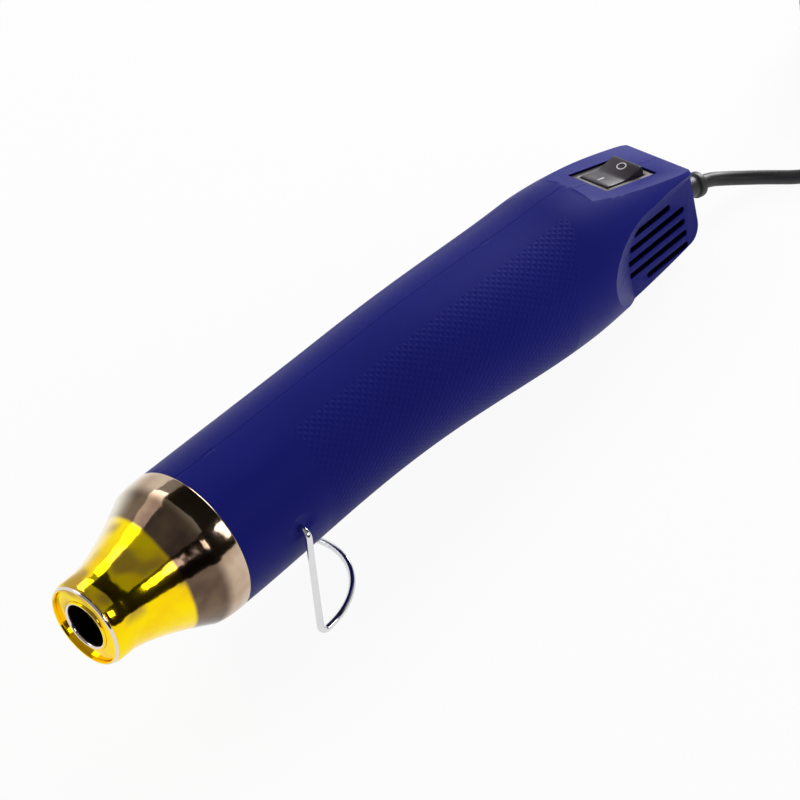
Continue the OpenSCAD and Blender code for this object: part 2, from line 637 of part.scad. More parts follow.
module housing_screws() color(steel) rest() for (s = screws) translate([s[0], 0, s[1]]) {
    rod_y(head_r, screw_seat, screw_seat + head_h);
    rod_y(screw_r, -thread_in, screw_seat + 1);
}
module cord_clamp() color(black) rest() difference() {
    translate([clamp_x - clamp_len / 2, cord_r, relief_z - clamp_span / 2])
        cube([clamp_len, clamp_t, clamp_span]);
    for (z = clamp_holes) translate([clamp_x, 0, z]) rod_y(clamp_screw_r + gap, 0, 12);
}
module clamp_screws() color(steel) rest() for (z = clamp_holes) translate([clamp_x, 0, z]) {
    rod_y(1.9, cord_r + clamp_t, cord_r + clamp_t + 1.4);
    rod_y(clamp_screw_r, -7, cord_r + clamp_t + 1);
}
module cord_inner_end() color(black) rest() translate([0, 0, relief_z])
    rod_x(cord_r, clamp_x - 7, tool_len - wall - relief_in + 2.4);
module strain_relief() color(black) rest() translate([0, 0, relief_z]) {
    rod_x(5.4, tool_len - wall - 2.6, tool_len - wall - 0.6);
    rod_x(relief_hole_r - gap, tool_len - wall - 1, tool_len + 0.5);
    difference() {
        translate([tool_len, 0, 0]) rotate([0, relief_tilt, 0]) union() {
            rotate([0, 90, 0]) translate([0, 0, -1.5])
                cylinder(r1 = relief_base_r, r2 = relief_neck_r, h = relief_len - 3);
            rod_x(relief_ring_r, relief_len - 3, relief_len - 1);
            rotate([0, 90, 0]) translate([0, 0, relief_len - 1])
                cylinder(r1 = relief_ring_r, r2 = relief_ring_r - 0.8, h = 1);
        }
        translate([tool_len - 10, -10, -10]) cube([10, 20, 20]);
    }
}

// The put-away coil: layers in and out, each climb in a half turn
part_turn = [for (i = [0:6]) i % 2 == 0 ? coil_turns : 0.5];
function before(i) = i == 0 ? 0 : before(i - 1) + part_turn[i - 1];
coil_total = before(6) + part_turn[6];
function part_at(u) = max([for (i = [0:6]) if (u >= before(i)) i]);
function coil_at(u) = let (
    i = part_at(u),
    f = (u - before(i)) / part_turn[i],
    inward = i % 4 < 2,
    spread = coil_out_r - coil_in_r,
    bulge = coil_bulge * sin(180 * f),
    layer_r = inward ? coil_out_r - f * spread : coil_in_r + f * spread,
    climb_r = inward ? coil_in_r - bulge : coil_out_r + bulge,
    r = i % 2 == 0 ? layer_r : climb_r,
    z = coil_z + coil_layer * (i % 2 == 0 ? i / 2 : (i - 1) / 2 + smooth(f)),
    a = coil_start + 360 * u)
    [coil_c[0] + r * cos(a), coil_c[1] + r * sin(a), z];
loop_n = 24;
coil_n = round(coil_total * loop_n);
coil_run = [for (i = [0:coil_n]) coil_at(coil_total * i / coil_n)];
function tangent(a) = [-sin(a), cos(a), 0];
coil_first = coil_run[0] - cord_d * tangent(coil_start);
coil_last = coil_run[coil_n] + cord_d * tangent(coil_start + 360 * coil_total);
coil_path = concat([coil_first], coil_run, [coil_last]);
least_gap = min([for (i = [0:coil_n], j = [i + 10:1:coil_n]) norm(coil_run[i] - coil_run[j])])
    - cord_d;
echo(coil_turns = coil_total, coil_least_gap = least_gap);
lead_path = concat([relief_end, relief_end + 2 * relief_out], cord_pts,
    [coil_first - cord_d * tangent(coil_start), coil_first]);
plug_dir = [cos(plug_turn), sin(plug_turn), 0];
plug_start = [plug_at[0], plug_at[1], plug_t / 2];
end_path = concat([coil_last, coil_last + cord_d * tangent(coil_start + 360 * coil_total)], end_pts,
    [plug_start - cord_d * plug_dir, plug_start]);
echo(lead_path = lead_path);
echo(end_path = end_path);
function run(p) = [for (i = [1:len(p) - 1]) norm(p[i] - p[i - 1])];
function total(v, i = 0) = i == len(v) ? 0 : v[i] + total(v, i + 1);
echo(lead = total(run(lead_path)), coil = total(run(coil_path)), end = total(run(end_path)));

module power_cord() color(black) sweep(lead_path, cord_r, 8);
module cord_coil() color(black) sweep(coil_path, cord_r, 6);
module cord_end() color(black) sweep(end_path, cord_r, 8);
tie_w = 5;
tie_t = 0.7;
tie_a = 60;
tie_in = coil_in_r - cord_r - coil_bulge;
tie_out = coil_out_r + cord_r + coil_bulge;
tie_top = coil_z + 3 * coil_layer + cord_r;
module coil_tie() color("white") translate([coil_c[0], coil_c[1], 0]) rotate([0, 0, tie_a]) difference() {
    translate([tie_in - tie_t, -tie_w / 2, 0]) cube([tie_out - tie_in + 2 * tie_t, tie_w, tie_top + tie_t]);
    translate([tie_in, -tie_w, tie_t]) cube([tie_out - tie_in, 2 * tie_w, tie_top - tie_t]);
}
module at_plug() translate(plug_start) rotate([0, 0, plug_turn]) children();
module plug_shape(w) hull() for (s = [-1, 1]) translate([s * (w - plug_t) / 2, 0])
    circle(plug_t / 2, $fn = 32);
module plug_body() color(black) at_plug() difference() {
    union() {
        rotate([0, 90, 0]) cylinder(r1 = 3, r2 = 4.6, h = plug_tail + 1);
        hull() {
            translate([plug_tail, 0, 0]) rotate([90, 0, 90]) linear_extrude(1) plug_shape(plug_w - 13);
            translate([plug_tail + plug_len - 12, 0, 0]) rotate([90, 0, 90]) linear_extrude(12)
                plug_shape(plug_w);
        }
    }
    for (y = [-pin_gap / 2, pin_gap / 2]) translate([0, y, 0])
        rod_x(pin_r - 0.2, plug_tail + plug_len - 6, plug_tail + plug_len + 1);
}
module plug_pins() color(brass) at_plug() for (y = [-pin_gap / 2, pin_gap / 2]) translate([0, y, 0]) {
    rod_x(pin_r - 0.2, plug_tail + plug_len - 6, plug_tail + plug_len + sleeve_out);
    rod_x(pin_r, plug_tail + plug_len + sleeve_out, plug_tail + plug_len + pin_len - pin_r);
    translate([plug_tail + plug_len + pin_len - pin_r, 0, 0]) sphere(pin_r);
}
module plug_pin_sleeves() color(black) at_plug() for (y = [-pin_gap / 2, pin_gap / 2]) translate([0, y, 0])
    tube_x(pin_r, pin_r - 0.2, plug_tail + plug_len, plug_tail + plug_len + sleeve_out);

housing_left();
housing_right();
nozzle_bell();
outlet_plate();
heater_sleeve();
mica_board_upright();
mica_board_flat();
heater_winding();
heater_disc();
thermal_cutout();
motor_can();
motor_end_cap();
motor_magnets();
motor_armature();
motor_shaft();
fan_impeller();
motor_mount();
motor_screws();
rectifier_board();
rectifier_diodes();
smoothing_capacitor();
switch_frame();
switch_terminals();
rocker();
wire_stand();
housing_screws();
cord_clamp();
clamp_screws();
cord_inner_end();
strain_relief();
power_cord();
cord_coil();
cord_end();
coil_tie();
plug_body();
plug_pins();
plug_pin_sleeves();
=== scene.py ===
# %% [markdown]
# # Embossing heat tool
# The engineering model gives every real size and every moving body. This lesson dresses it: each
# visible piece is built again in finer detail on the same places, and gets a finish of its own.
# The model is loaded first, and its outlet mount tells where the tool's own axis lies.

# %% Load the engineering model
import json
import math
import bmesh
import bpy
from mathutils import Matrix, Vector


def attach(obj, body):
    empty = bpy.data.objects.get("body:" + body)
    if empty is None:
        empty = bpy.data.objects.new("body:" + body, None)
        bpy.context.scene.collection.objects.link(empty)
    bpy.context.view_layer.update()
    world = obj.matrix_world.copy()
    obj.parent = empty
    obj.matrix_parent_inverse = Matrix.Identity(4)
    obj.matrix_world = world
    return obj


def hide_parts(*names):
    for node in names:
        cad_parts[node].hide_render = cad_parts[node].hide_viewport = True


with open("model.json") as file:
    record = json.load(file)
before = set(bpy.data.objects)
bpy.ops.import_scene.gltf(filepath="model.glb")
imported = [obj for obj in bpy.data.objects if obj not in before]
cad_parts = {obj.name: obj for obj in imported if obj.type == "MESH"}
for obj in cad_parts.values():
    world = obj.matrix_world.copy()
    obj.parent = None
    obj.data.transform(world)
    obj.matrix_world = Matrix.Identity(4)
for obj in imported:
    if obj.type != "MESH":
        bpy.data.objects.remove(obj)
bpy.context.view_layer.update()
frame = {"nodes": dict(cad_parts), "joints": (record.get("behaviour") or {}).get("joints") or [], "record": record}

MM = 0.001
outlet = next(m for m in frame["record"]["mounts"] if m["name"] == "hot_air_outlet")
outlet_depth = 3.4
along = -Vector(outlet["axis"]).normalized()
side = Vector((0, 1, 0))
up = along.cross(side)
tip = Vector(outlet["pos_m"]) - along * outlet_depth * MM
TOOL = Matrix.Translation(tip) @ Matrix((along, side, up)).transposed().to_4x4() @ Matrix.Scale(MM, 4)
print("nozzle tip at", [round(v, 4) for v in tip], "tilt", round(math.degrees(math.asin(-along.z)), 2))

# %% [markdown]
# ## Camera
# The photograph looks down on the tool from the nozzle's side with a long lens, so lines hardly
# converge. A fit to the barrel's outline gave the camera's place and directions in the tool's own frame.

# %% Camera
camera = bpy.data.objects.new("camera", bpy.data.cameras.new("camera"))
bpy.context.scene.collection.objects.link(camera)
bpy.context.scene.camera = camera
camera.data.lens = 225
camera.data.clip_start, camera.data.clip_end = 0.05, 20
camera.location = TOOL @ Vector((-572.05, -868.74, 844.37))
turned = TOOL.to_3x3()
look = (turned @ Vector((0.49581, 0.62, -0.60808))).normalized()
lens_up = (turned @ Vector((0.5432, 0.32491, 0.77419))).normalized()
camera.rotation_mode = "QUATERNION"
camera.rotation_quaternion = Matrix((look.cross(lens_up), lens_up, -look)).transposed().to_quaternion()
print("camera at", [round(v, 2) for v in camera.location], "with a", camera.data.lens, "mm lens")

# %% [markdown]
# ## Helpers for meshes
# Every piece is drawn in millimetres along the tool's axis: x runs from the nozzle's tip to the tail,
# y to the side with the screw heads, z up. One matrix then sets it in place, and the object itself
# stays at the origin. Smooth shading with sharp edges past an angle keeps turned faces round.

# %% Mesh helpers
def finish_mesh(bm, name, place=TOOL, sharp=35.0):
    """Sets the drawn shape in place and makes it an object."""
    bmesh.ops.remove_doubles(bm, verts=bm.verts, dist=1e-4)
    bmesh.ops.transform(bm, matrix=place, verts=bm.verts)
    bmesh.ops.recalc_face_normals(bm, faces=bm.faces)
    mesh = bpy.data.meshes.new(name)
    bm.to_mesh(mesh)
    bm.free()
    obj = bpy.data.objects.new(name, mesh)
    bpy.context.scene.collection.objects.link(obj)
    shade(obj, sharp)
    return obj


def shade(obj, sharp=35.0):
    """Smooth shading, with the edges past an angle kept sharp."""
    obj.data.shade_smooth()
    obj.data.set_sharp_from_angle(angle=math.radians(sharp))


def spun(profile, name, place=TOOL, steps=128, closed=True, sharp=35.0):
    """Turns a profile of (x, radius) points round the x axis."""
    bm = bmesh.new()
    verts = [bm.verts.new((x, 0, r)) for x, r in profile]
    edges = [bm.edges.new(pair) for pair in zip(verts, verts[1:])]
    if closed:
        edges.append(bm.edges.new((verts[-1], verts[0])))
    bmesh.ops.spin(bm, geom=verts + edges, cent=(0, 0, 0), axis=(1, 0, 0), angle=2 * math.pi,
                   steps=steps, use_merge=True)
    return finish_mesh(bm, name, place, sharp)


def pushed(bm, faces, by):
    """Extrudes the faces and moves what grew."""
    grown = bmesh.ops.extrude_face_region(bm, geom=faces)["geom"]
    bmesh.ops.translate(bm, verts=[g for g in grown if isinstance(g, bmesh.types.BMVert)], vec=by)


def arc(cx, cr, radius, start, end, steps):
    """Points of an arc in the (x, radius) plane, angles in degrees."""
    angles = [math.radians(start + (end - start) * i / steps) for i in range(steps + 1)]
    return [(cx + radius * math.cos(a), cr + radius * math.sin(a)) for a in angles]


def smooth_line(points, cuts=4):
    """A smooth curve through given points."""
    ends = [2 * points[0] - points[1]] + points + [2 * points[-1] - points[-2]]
    line = []
    for a, b, c, d in zip(ends, ends[1:], ends[2:], ends[3:]):
        for i in range(cuts):
            t = i / cuts
            line.append(0.5 * (2 * b + (c - a) * t + (2 * a - 5 * b + 4 * c - d) * t * t
                               + (3 * b - a - 3 * c + d) * t ** 3))
    return line + [points[-1]]


def line_length(points):
    return sum((b - a).length for a, b in zip(points, points[1:]))


def wire(points, radius, name, sides=4):
    """A round wire or lead along the points: a curve of one open spline, made a mesh."""
    curve = bpy.data.curves.new(name, "CURVE")
    curve.dimensions = "3D"
    curve.bevel_depth = radius
    curve.bevel_resolution = sides
    curve.use_fill_caps = True
    spline = curve.splines.new("POLY")
    spline.points.add(len(points) - 1)
    for place, point in zip(spline.points, points):
        place.co = (*point, 1)
    drawn = bpy.data.objects.new("drawn", curve)
    obj = bpy.data.objects.new(name, bpy.data.meshes.new_from_object(drawn))
    bpy.data.objects.remove(drawn)
    bpy.context.scene.collection.objects.link(obj)
    shade(obj, 60)
    return obj


def apply_all(obj):
    """Applies an object's modifiers to its mesh."""
    graph = bpy.context.evaluated_depsgraph_get()
    made = bpy.data.meshes.new_from_object(obj.evaluated_get(graph))
    obj.modifiers.clear()
    old, obj.data = obj.data, made
    bpy.data.meshes.remove(old)
    return obj


def cut(obj, *tools, how="DIFFERENCE"):
    """Cuts a shape with others, which are then thrown away."""
    for tool in tools:
        change = obj.modifiers.new("cut", "BOOLEAN")
        change.operation, change.object, change.solver = how, tool, "EXACT"
        apply_all(obj)
        mesh = tool.data
        bpy.data.objects.remove(tool)
        bpy.data.meshes.remove(mesh)
    return obj


# %% [markdown]
# ## Mains lead
# The lead is one length of round black cord. The photograph shows it leaving the tail and running out
# of the picture, so the rest lies coiled and tied in line with the tool, and ends in a two-pin plug.
# The free stretches are set one by one, and the turns of the coil follow a rule: four layers that spiral
# in and out, each climbing in the half turn where the spiral reverses.

# %% Lead
cord_d = 4.3
tool_len, relief_len, relief_tilt, relief_z = 236.0, 15.2, math.radians(16), -11.0
coil_c = Vector((224, 0, 0))
coil_r, coil_turns, coil_pitch, coil_layer, coil_bulge = 22.5, 2.13, 4.8, 4.6, 0.9
coil_start = 272
coil_z = cord_d / 2 + 0.75
coil_in = coil_r - coil_pitch * coil_turns / 2
coil_out = coil_r + coil_pitch * coil_turns / 2
part_turn = [coil_turns if i % 2 == 0 else 0.5 for i in range(7)]
part_start = [sum(part_turn[:i]) for i in range(7)]
coil_total = sum(part_turn)
relief_dir = Vector((math.cos(relief_tilt), 0, -math.sin(relief_tilt)))
relief_end = TOOL @ (Vector((tool_len, 0, relief_z)) + relief_dir * relief_len) / MM
relief_out = (TOOL.to_3x3() @ relief_dir).normalized()


def coil_at(u):
    """The lead's middle line u turns into the coil: flat spirals, in and out by turns, and half turns up."""
    i = max(k for k in range(7) if u >= part_start[k] - 1e-9)
    f = min(1, (u - part_start[i]) / part_turn[i])
    inward = i % 4 < 2
    bulge = coil_bulge * math.sin(math.pi * f)
    layer_r = coil_out - f * (coil_out - coil_in) if inward else coil_in + f * (coil_out - coil_in)
    climb_r = coil_in - bulge if inward else coil_out + bulge
    r = layer_r if i % 2 == 0 else climb_r
    rise = i / 2 if i % 2 == 0 else (i - 1) / 2 + f * f * (3 - 2 * f)
    a = math.radians(coil_start + 360 * u)
    return coil_c + Vector((r * math.cos(a), r * math.sin(a), coil_z + coil_layer * rise))


def tangent(u):
    """The direction in which the coil winds, u turns in."""
    a = math.radians(coil_start + 360 * u)
    return Vector((-math.sin(a), math.cos(a), 0))


coil_steps = round(coil_total * 36)
coil_run = [coil_at(coil_total * i / coil_steps) for i in range(coil_steps + 1)]
coil_first = coil_run[0] - cord_d * tangent(0)
coil_last = coil_run[-1] + cord_d * tangent(coil_total)
plug_at = Vector((268, -21, 6.8))
plug_turn = math.radians(14)
plug_dir = Vector((math.cos(plug_turn), math.sin(plug_turn), 0))
flat = cord_d / 2
out_points = [(136.4, -0.5, 7.2), (138.7, -1.4, 6.1), (141.7, -3.2, 4.8), (145.2, -6.3, 3.6),
              (148.3, -9.8, 2.8), (151, -13.6, 2.3), (153.5, -17.7, flat), (157.3, -22.4, flat),
              (163, -26.6, flat), (172, -29.5, flat), (184, -30.6, flat), (198, -29.8, flat),
              (209, -28.7, flat + 0.25)]
end_points = [(243.5, -25.1, 15.4), (250, -24.4, 12), (257, -23.4, 8.4)]
lead_out = smooth_line([relief_end, relief_end + 2 * relief_out] + [Vector(p) for p in out_points]
                       + [coil_first - cord_d * tangent(0), coil_first])
lead_end = smooth_line([coil_last, coil_last + cord_d * tangent(coil_total)]
                       + [Vector(p) for p in end_points] + [plug_at - cord_d * plug_dir, plug_at])
lead_line = [p * MM for p in lead_out + coil_run + lead_end]
lead_length = line_length(lead_line)
lead = wire(lead_line, cord_d / 2 * MM, "mains_lead")
print("lead", round(lead_length, 3), "m in", round(coil_total, 2), "turns")

# %% [markdown]
# ## Strain relief
# A soft moulded sleeve keeps the lead from kinking at the tail. It tapers from the housing's hole to
# a raised ring at its end. A spun profile gives it, with a bead at each change of size.

# %% Strain relief
AT_RELIEF = TOOL @ Matrix.Translation((tool_len, 0, relief_z)) @ Matrix.Rotation(relief_tilt, 4, "Y")
base_r, neck_r, ring_r = 4.4, 3.2, 3.9
relief_profile = ([(0.2, 2.0), (0.2, base_r)] + arc(0.8, base_r - 0.5, 0.5, 90, 20, 4)
                  + [(3.5, neck_r + 0.5), (8, neck_r + 0.15), (relief_len - 3.1, neck_r)]
                  + arc(relief_len - 2.3, ring_r - 0.6, 0.6, 170, 90, 4)
                  + arc(relief_len - 1.0, ring_r - 0.95, 0.95, 90, 0, 6) + [(relief_len, 2.0)])
relief = spun(relief_profile, "lead_sleeve", AT_RELIEF, 64)
print("strain relief", relief_len, "mm long,", len(relief.data.polygons), "faces")

# %% [markdown]
# ## Plug
# The flat two-pin plug is a moulded body that widens toward its face. Flat ovals bridged one after the
# other along its length make it. The pins are turned, with a black sleeve on their first half.

# %% Plug
AT_PLUG = Matrix.Translation(plug_at * MM) @ Matrix.Rotation(plug_turn, 4, "Z") @ Matrix.Scale(MM, 4)
plug_tail, plug_len, plug_w, plug_t = 12.0, 34.0, 33.0, 13.6
pin_r, pin_len, pin_gap, sleeve_len = 2.0, 19.0, 18.6, 10.0


def flat_ring(bm, x, width, thick, steps=32):
    """A flat oval of straight sides and half-round ends, square to x."""
    made = bmesh.ops.create_circle(bm, segments=steps, radius=thick / 2,
                                   matrix=Matrix.Rotation(math.pi / 2, 4, "Y"))
    spread = (width - thick) / 2
    for v in made["verts"]:
        v.co.x = x
        v.co.y += spread if v.co.y > 1e-6 else -spread if v.co.y < -1e-6 else 0
    return list({e for v in made["verts"] for e in v.link_edges})


def lofted(rings, name, place):
    """Joins flat rings of (x, width, thickness) one after the other, and closes both ends."""
    bm = bmesh.new()
    loops = [flat_ring(bm, *ring) for ring in rings]
    for a, b in zip(loops, loops[1:]):
        bmesh.ops.bridge_loops(bm, edges=a + b)
    for loop in (loops[0], loops[-1]):
        bmesh.ops.holes_fill(bm, edges=loop)
    return finish_mesh(bm, name, place, 40)


plug_face = plug_tail + plug_len
plug = lofted([(plug_tail - 0.5, 18, 11), (plug_tail, plug_w - 13.6, 12.6),
               (plug_tail + 1, plug_w - 13, 13.4), (plug_face - 12, plug_w - 0.6, plug_t),
               (plug_face - 10, plug_w, plug_t), (plug_face - 0.8, plug_w, plug_t),
               (plug_face, plug_w - 1.4, plug_t - 1.4)],
              "plug_moulding", AT_PLUG)
plug_neck_profile = [(0, 2.0), (0, 3.0)]
for k in range(5):  # five ribs, each wider than the one before
    x, r = 1.2 + 2.2 * k, 3.1 + 0.32 * k
    plug_neck_profile += [(x, r), (x + 0.3, r + 0.1), (x + 1.1, r + 0.15), (x + 1.4, r - 0.4)]
plug_neck_profile += [(plug_tail + 0.5, 4.6), (plug_tail + 0.5, 2.0)]
plug_neck = spun(plug_neck_profile, "plug_neck", AT_PLUG, 48)
core_r = pin_r - 0.2
pin_profile = ([(-1, 0.01), (-1, core_r), (sleeve_len, core_r), (sleeve_len, pin_r - 0.15),
                (sleeve_len + 0.15, pin_r)] + arc(pin_len - pin_r, 0, pin_r, 90, 1, 8))
sleeve_profile = [(-0.5, core_r), (-0.5, pin_r), (sleeve_len - 0.2, pin_r), (sleeve_len, pin_r - 0.1),
                  (sleeve_len, core_r)]
pins, pin_sleeves = [], []
for k in (0, 1):
    at_pin = AT_PLUG @ Matrix.Translation((plug_face, (2 * k - 1) * pin_gap / 2, 0))
    pins.append(spun(pin_profile, "plug_pin_%d" % k, at_pin, 40))
    pin_sleeves.append(spun(sleeve_profile, "pin_sleeve_%d" % k, at_pin, 40))
print("plug body", plug_len, "mm long, pins", 2 * pin_r, "mm thick and", pin_gap, "mm apart")

# %% [markdown]
# ## Tie
# A plastic-covered wire holds the loops together. It is a box as wide as the tie, opened at its sides and
# rounded at its corners, which solidify then gives its thickness.

# %% Tie round the coil
tie_w, tie_t, tie_turn = 5.0, 0.7, math.radians(60)
tie_in, tie_out = coil_in - cord_d / 2 - coil_bulge, coil_out + cord_d / 2 + coil_bulge
tie_top = coil_z + 3 * coil_layer + cord_d / 2
bm = bmesh.new()
tie_mid = Vector(((tie_in + tie_out) / 2, 0, (tie_top + tie_t) / 2))
bmesh.ops.create_cube(bm, size=1, matrix=Matrix.Translation(tie_mid)
                      @ Matrix.Diagonal((tie_out - tie_in + tie_t, tie_w, tie_top, 1)))
ends = [f for f in bm.faces if abs(f.normal.y) > 0.9]
bmesh.ops.delete(bm, geom=ends, context="FACES_ONLY")
bmesh.ops.bevel(bm, geom=[e for e in bm.edges if abs((e.verts[0].co - e.verts[1].co).y) > 1], offset=2.2,
                affect="EDGES", segments=5, profile=0.5, material=-1)
bmesh.ops.solidify(bm, geom=bm.faces, thickness=tie_t)
AT_COIL = Matrix.Translation(coil_c * MM) @ Matrix.Rotation(tie_turn, 4, "Z") @ Matrix.Scale(MM, 4)
tie = finish_mesh(bm, "lead_tie", AT_COIL)
print("tie", round(tie_out - tie_in), "mm long and", round(tie_top), "mm high")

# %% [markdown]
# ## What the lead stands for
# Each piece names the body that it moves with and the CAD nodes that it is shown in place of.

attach(lead, "tool")
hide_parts("power_cord", "cord_coil", "cord_end")
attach(relief, "tool")
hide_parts("strain_relief")
for piece, slot in [(plug, "black_plastic"), (plug_neck, "black_plastic"), (tie, "white_tie")] \
        + [(p, "nickel") for p in pins] + [(p, "black_plastic") for p in pin_sleeves]:
    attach(piece, "tool")
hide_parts("plug_body")
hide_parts("plug_pins")
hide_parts("plug_pin_sleeves")
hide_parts("coil_tie")

# %% [markdown]
# ## Housing
# Two moulded half shells make the barrel. The section is round all along, but its middle drops toward
# the tail, so it isn't a plain turned shape: rings are extruded one after the other and each is scaled
# and moved. The sloping plate, the scooped sides, the vent slots, the switch's pocket and the holes are
# cut from it, and a hollow copy of the same skin leaves the wall.

# %% Sections of the housing
collar_x, waist_x, swell_x, tail_round, wall = 41.2, 100.0, 187.0, 4.0, 2.2
front_r, waist_r, swell_r, tail_r = 22.3, 21.4, 23.3, 17.1
waist_rise, swell_drop, tail_drop, drop_power = 0.8, 4.2, 7.5, 1.3


def clamp01(t):
    return max(0.0, min(1.0, t))


def smooth(t):
    t = clamp01(t)
    return t * t * (3 - 2 * t)


def rounding(x):
    u = clamp01((x - tool_len + tail_round) / tail_round)
    return tail_round * (1 - math.sqrt(1 - u * u * 0.999))


def tail_ease(x):
    return clamp01((x - swell_x) / (tool_len - swell_x)) ** 1.6


def body_r(x):
    if x < waist_x:
        return front_r + (waist_r - front_r) * smooth((x - collar_x) / (waist_x - collar_x))
    if x < swell_x:
        return waist_r + (swell_r - waist_r) * smooth((x - waist_x) / (swell_x - waist_x))
    return swell_r + (tail_r - swell_r) * tail_ease(x) - rounding(x) / 2


def body_z(x):
    if x < waist_x:
        return waist_rise * smooth((x - collar_x) / (waist_x - collar_x))
    if x < swell_x:
        share = smooth(((x - waist_x) / (swell_x - waist_x)) ** drop_power)
        return waist_rise - (waist_rise + swell_drop) * share
    return -swell_drop - (tail_drop - swell_drop) * tail_ease(x) + rounding(x) / 2


def barrel(name, x0, x1, inset, segments=128, spacing=2.5):
    """The round skin from x0 to x1, lowered by inset, closed at both ends."""
    count = math.ceil((x1 - tail_round - x0) / spacing)
    places = [x0 + (x1 - tail_round - x0) * i / count for i in range(count + 1)]
    places += [x1 - tail_round * (1 - math.sin(math.radians(a))) for a in (15, 30, 45, 60, 75, 90)]
    bm = bmesh.new()
    made = bmesh.ops.create_circle(bm, segments=segments, radius=1,
                                   matrix=Matrix.Rotation(math.pi / 2, 4, "Y"))
    ring = made["verts"]
    edges = bm.edges[:]
    first = edges
    for v in ring:
        v.co = (places[0], v.co.y * (body_r(x0) - inset), body_z(x0) + v.co.z * (body_r(x0) - inset))
    for a, b in zip(places, places[1:]):
        grown = bmesh.ops.extrude_edge_only(bm, edges=edges)["geom"]
        ring = [g for g in grown if isinstance(g, bmesh.types.BMVert)]
        edges = [g for g in grown if isinstance(g, bmesh.types.BMEdge)]
        scale = (body_r(b) - inset) / (body_r(a) - inset)
        bmesh.ops.translate(bm, verts=ring, vec=(b - a, 0, -body_z(a)))
        bmesh.ops.scale(bm, verts=ring, vec=(1, scale, scale))
        bmesh.ops.translate(bm, verts=ring, vec=(0, 0, body_z(b)))
    bmesh.ops.holes_fill(bm, edges=first)
    bmesh.ops.holes_fill(bm, edges=edges)
    return finish_mesh(bm, name, Matrix.Identity(4))


# %% [markdown]
# ## Cutters
# What is cut from the skin is drawn as solids of its own: boxes, rods, the wedge over the sloping plate,
# the scoop at the side and the vent slots. They take their sizes from the same values as the pieces
# that fit there.

# %% Cutters for the housing
plate_tilt, plate_end_z, plate_x = math.radians(18), 3.8, 199.0
plate_slope = math.tan(plate_tilt)
switch_x, bezel_len, bezel_w, bezel_t, bezel_sink = 217.3, 21.0, 15.0, 1.0, 0.6
switch_z = plate_end_z + plate_slope * (tool_len - switch_x)
AT_SWITCH = Matrix.Translation((switch_x, 0, switch_z)) @ Matrix.Rotation(plate_tilt, 4, "Y")
panel_y, slot_h, slot_pitch, slot_top_z = 12.0, 2.1, 4.05, -3.2
slot_ends = [(210, 226.2), (207.6, 231.5), (206, 231), (205.5, 231), (212.4, 230.7)]
hinge_x, hinge_z = 62.0, -1.0
hinge_hole_r, lead_hole_r, front_bore_r, front_bore_end = 1.09, 4, 19.9, 58
opening_len, opening_w, well_r, well_floor = 19.0, 13.0, 3.0, 6
screws = [(80, 12), (80, -13.2), (170, 9), (184, -20.5)]


def box_tool(low, high, place=Matrix.Identity(4), name="tool"):
    """A box from its lowest to its highest corner, then set in place."""
    bm = bmesh.new()
    middle = [(a + b) / 2 for a, b in zip(low, high)]
    size = [b - a for a, b in zip(low, high)]
    bmesh.ops.create_cube(bm, size=1,
                          matrix=place @ Matrix.Translation(middle) @ Matrix.Diagonal((*size, 1)))
    return finish_mesh(bm, name, Matrix.Identity(4))


def rod_tool(radius, low, high, a, b, segments=32, axis="Y"):
    """A rod along y through (x, z) = (a, b), or along x through (y, z) = (a, b)."""
    bm = bmesh.new()
    turn = Matrix.Rotation(math.pi / 2, 4, "X" if axis == "Y" else "Y")
    middle = (a, (low + high) / 2, b) if axis == "Y" else ((low + high) / 2, a, b)
    bmesh.ops.create_cone(bm, cap_ends=True, segments=segments, radius1=radius, radius2=radius,
                          depth=high - low, matrix=Matrix.Translation(middle) @ turn)
    return finish_mesh(bm, "tool", Matrix.Identity(4))


def over_plate(drop=0.0, lip=0.0):
    """All that lies above the sloping plate."""
    bm = bmesh.new()

    def plate_z(x):
        return plate_end_z + plate_slope * (tool_len - x) - drop
    corners = [(plate_x - lip, plate_z(plate_x)), (plate_x - lip - 2, 30), (tool_len + 10, 30),
               (tool_len + 10, plate_z(tool_len + 10))]
    face = bm.faces.new([bm.verts.new((x, -40, z)) for x, z in corners])
    pushed(bm, [face], (0, 80, 0))
    return finish_mesh(bm, "tool", Matrix.Identity(4))


def scoop_outline(bm, y, x0, r, corner_z, top, steps=24):
    """The scoop's outline at one depth: open below, with a round upper front corner."""
    end_x, low = tool_len + 12, corner_z - 40
    reach = Vector((end_x - x0 - r, top - corner_z))
    touch = math.atan2(reach.y, reach.x) + math.acos(r / reach.length)
    angles = [math.pi + (touch - math.pi) * i / steps for i in range(steps + 1)]
    corner = [(x0 + r + r * math.cos(a), corner_z + r * math.sin(a)) for a in angles]
    points = [(end_x, low), (x0, low)] + corner + [(end_x, top)]
    verts = [bm.verts.new((x, y, z)) for x, z in points]
    return [bm.edges.new(pair) for pair in zip(verts, verts[1:] + verts[:1])]


def scoop(shift=0.0):
    """What is scooped from the side: narrow at the vent panel, wider where it leaves the barrel."""
    bm = bmesh.new()
    inner = scoop_outline(bm, panel_y - shift, 206.2, 11.3, -12.5, 2)
    outer = scoop_outline(bm, panel_y + 12 - shift, 188.5, 21.5, -7, 22)
    bmesh.ops.bridge_loops(bm, edges=inner + outer)
    bmesh.ops.holes_fill(bm, edges=inner)
    bmesh.ops.holes_fill(bm, edges=outer)
    return finish_mesh(bm, "tool", Matrix.Identity(4))


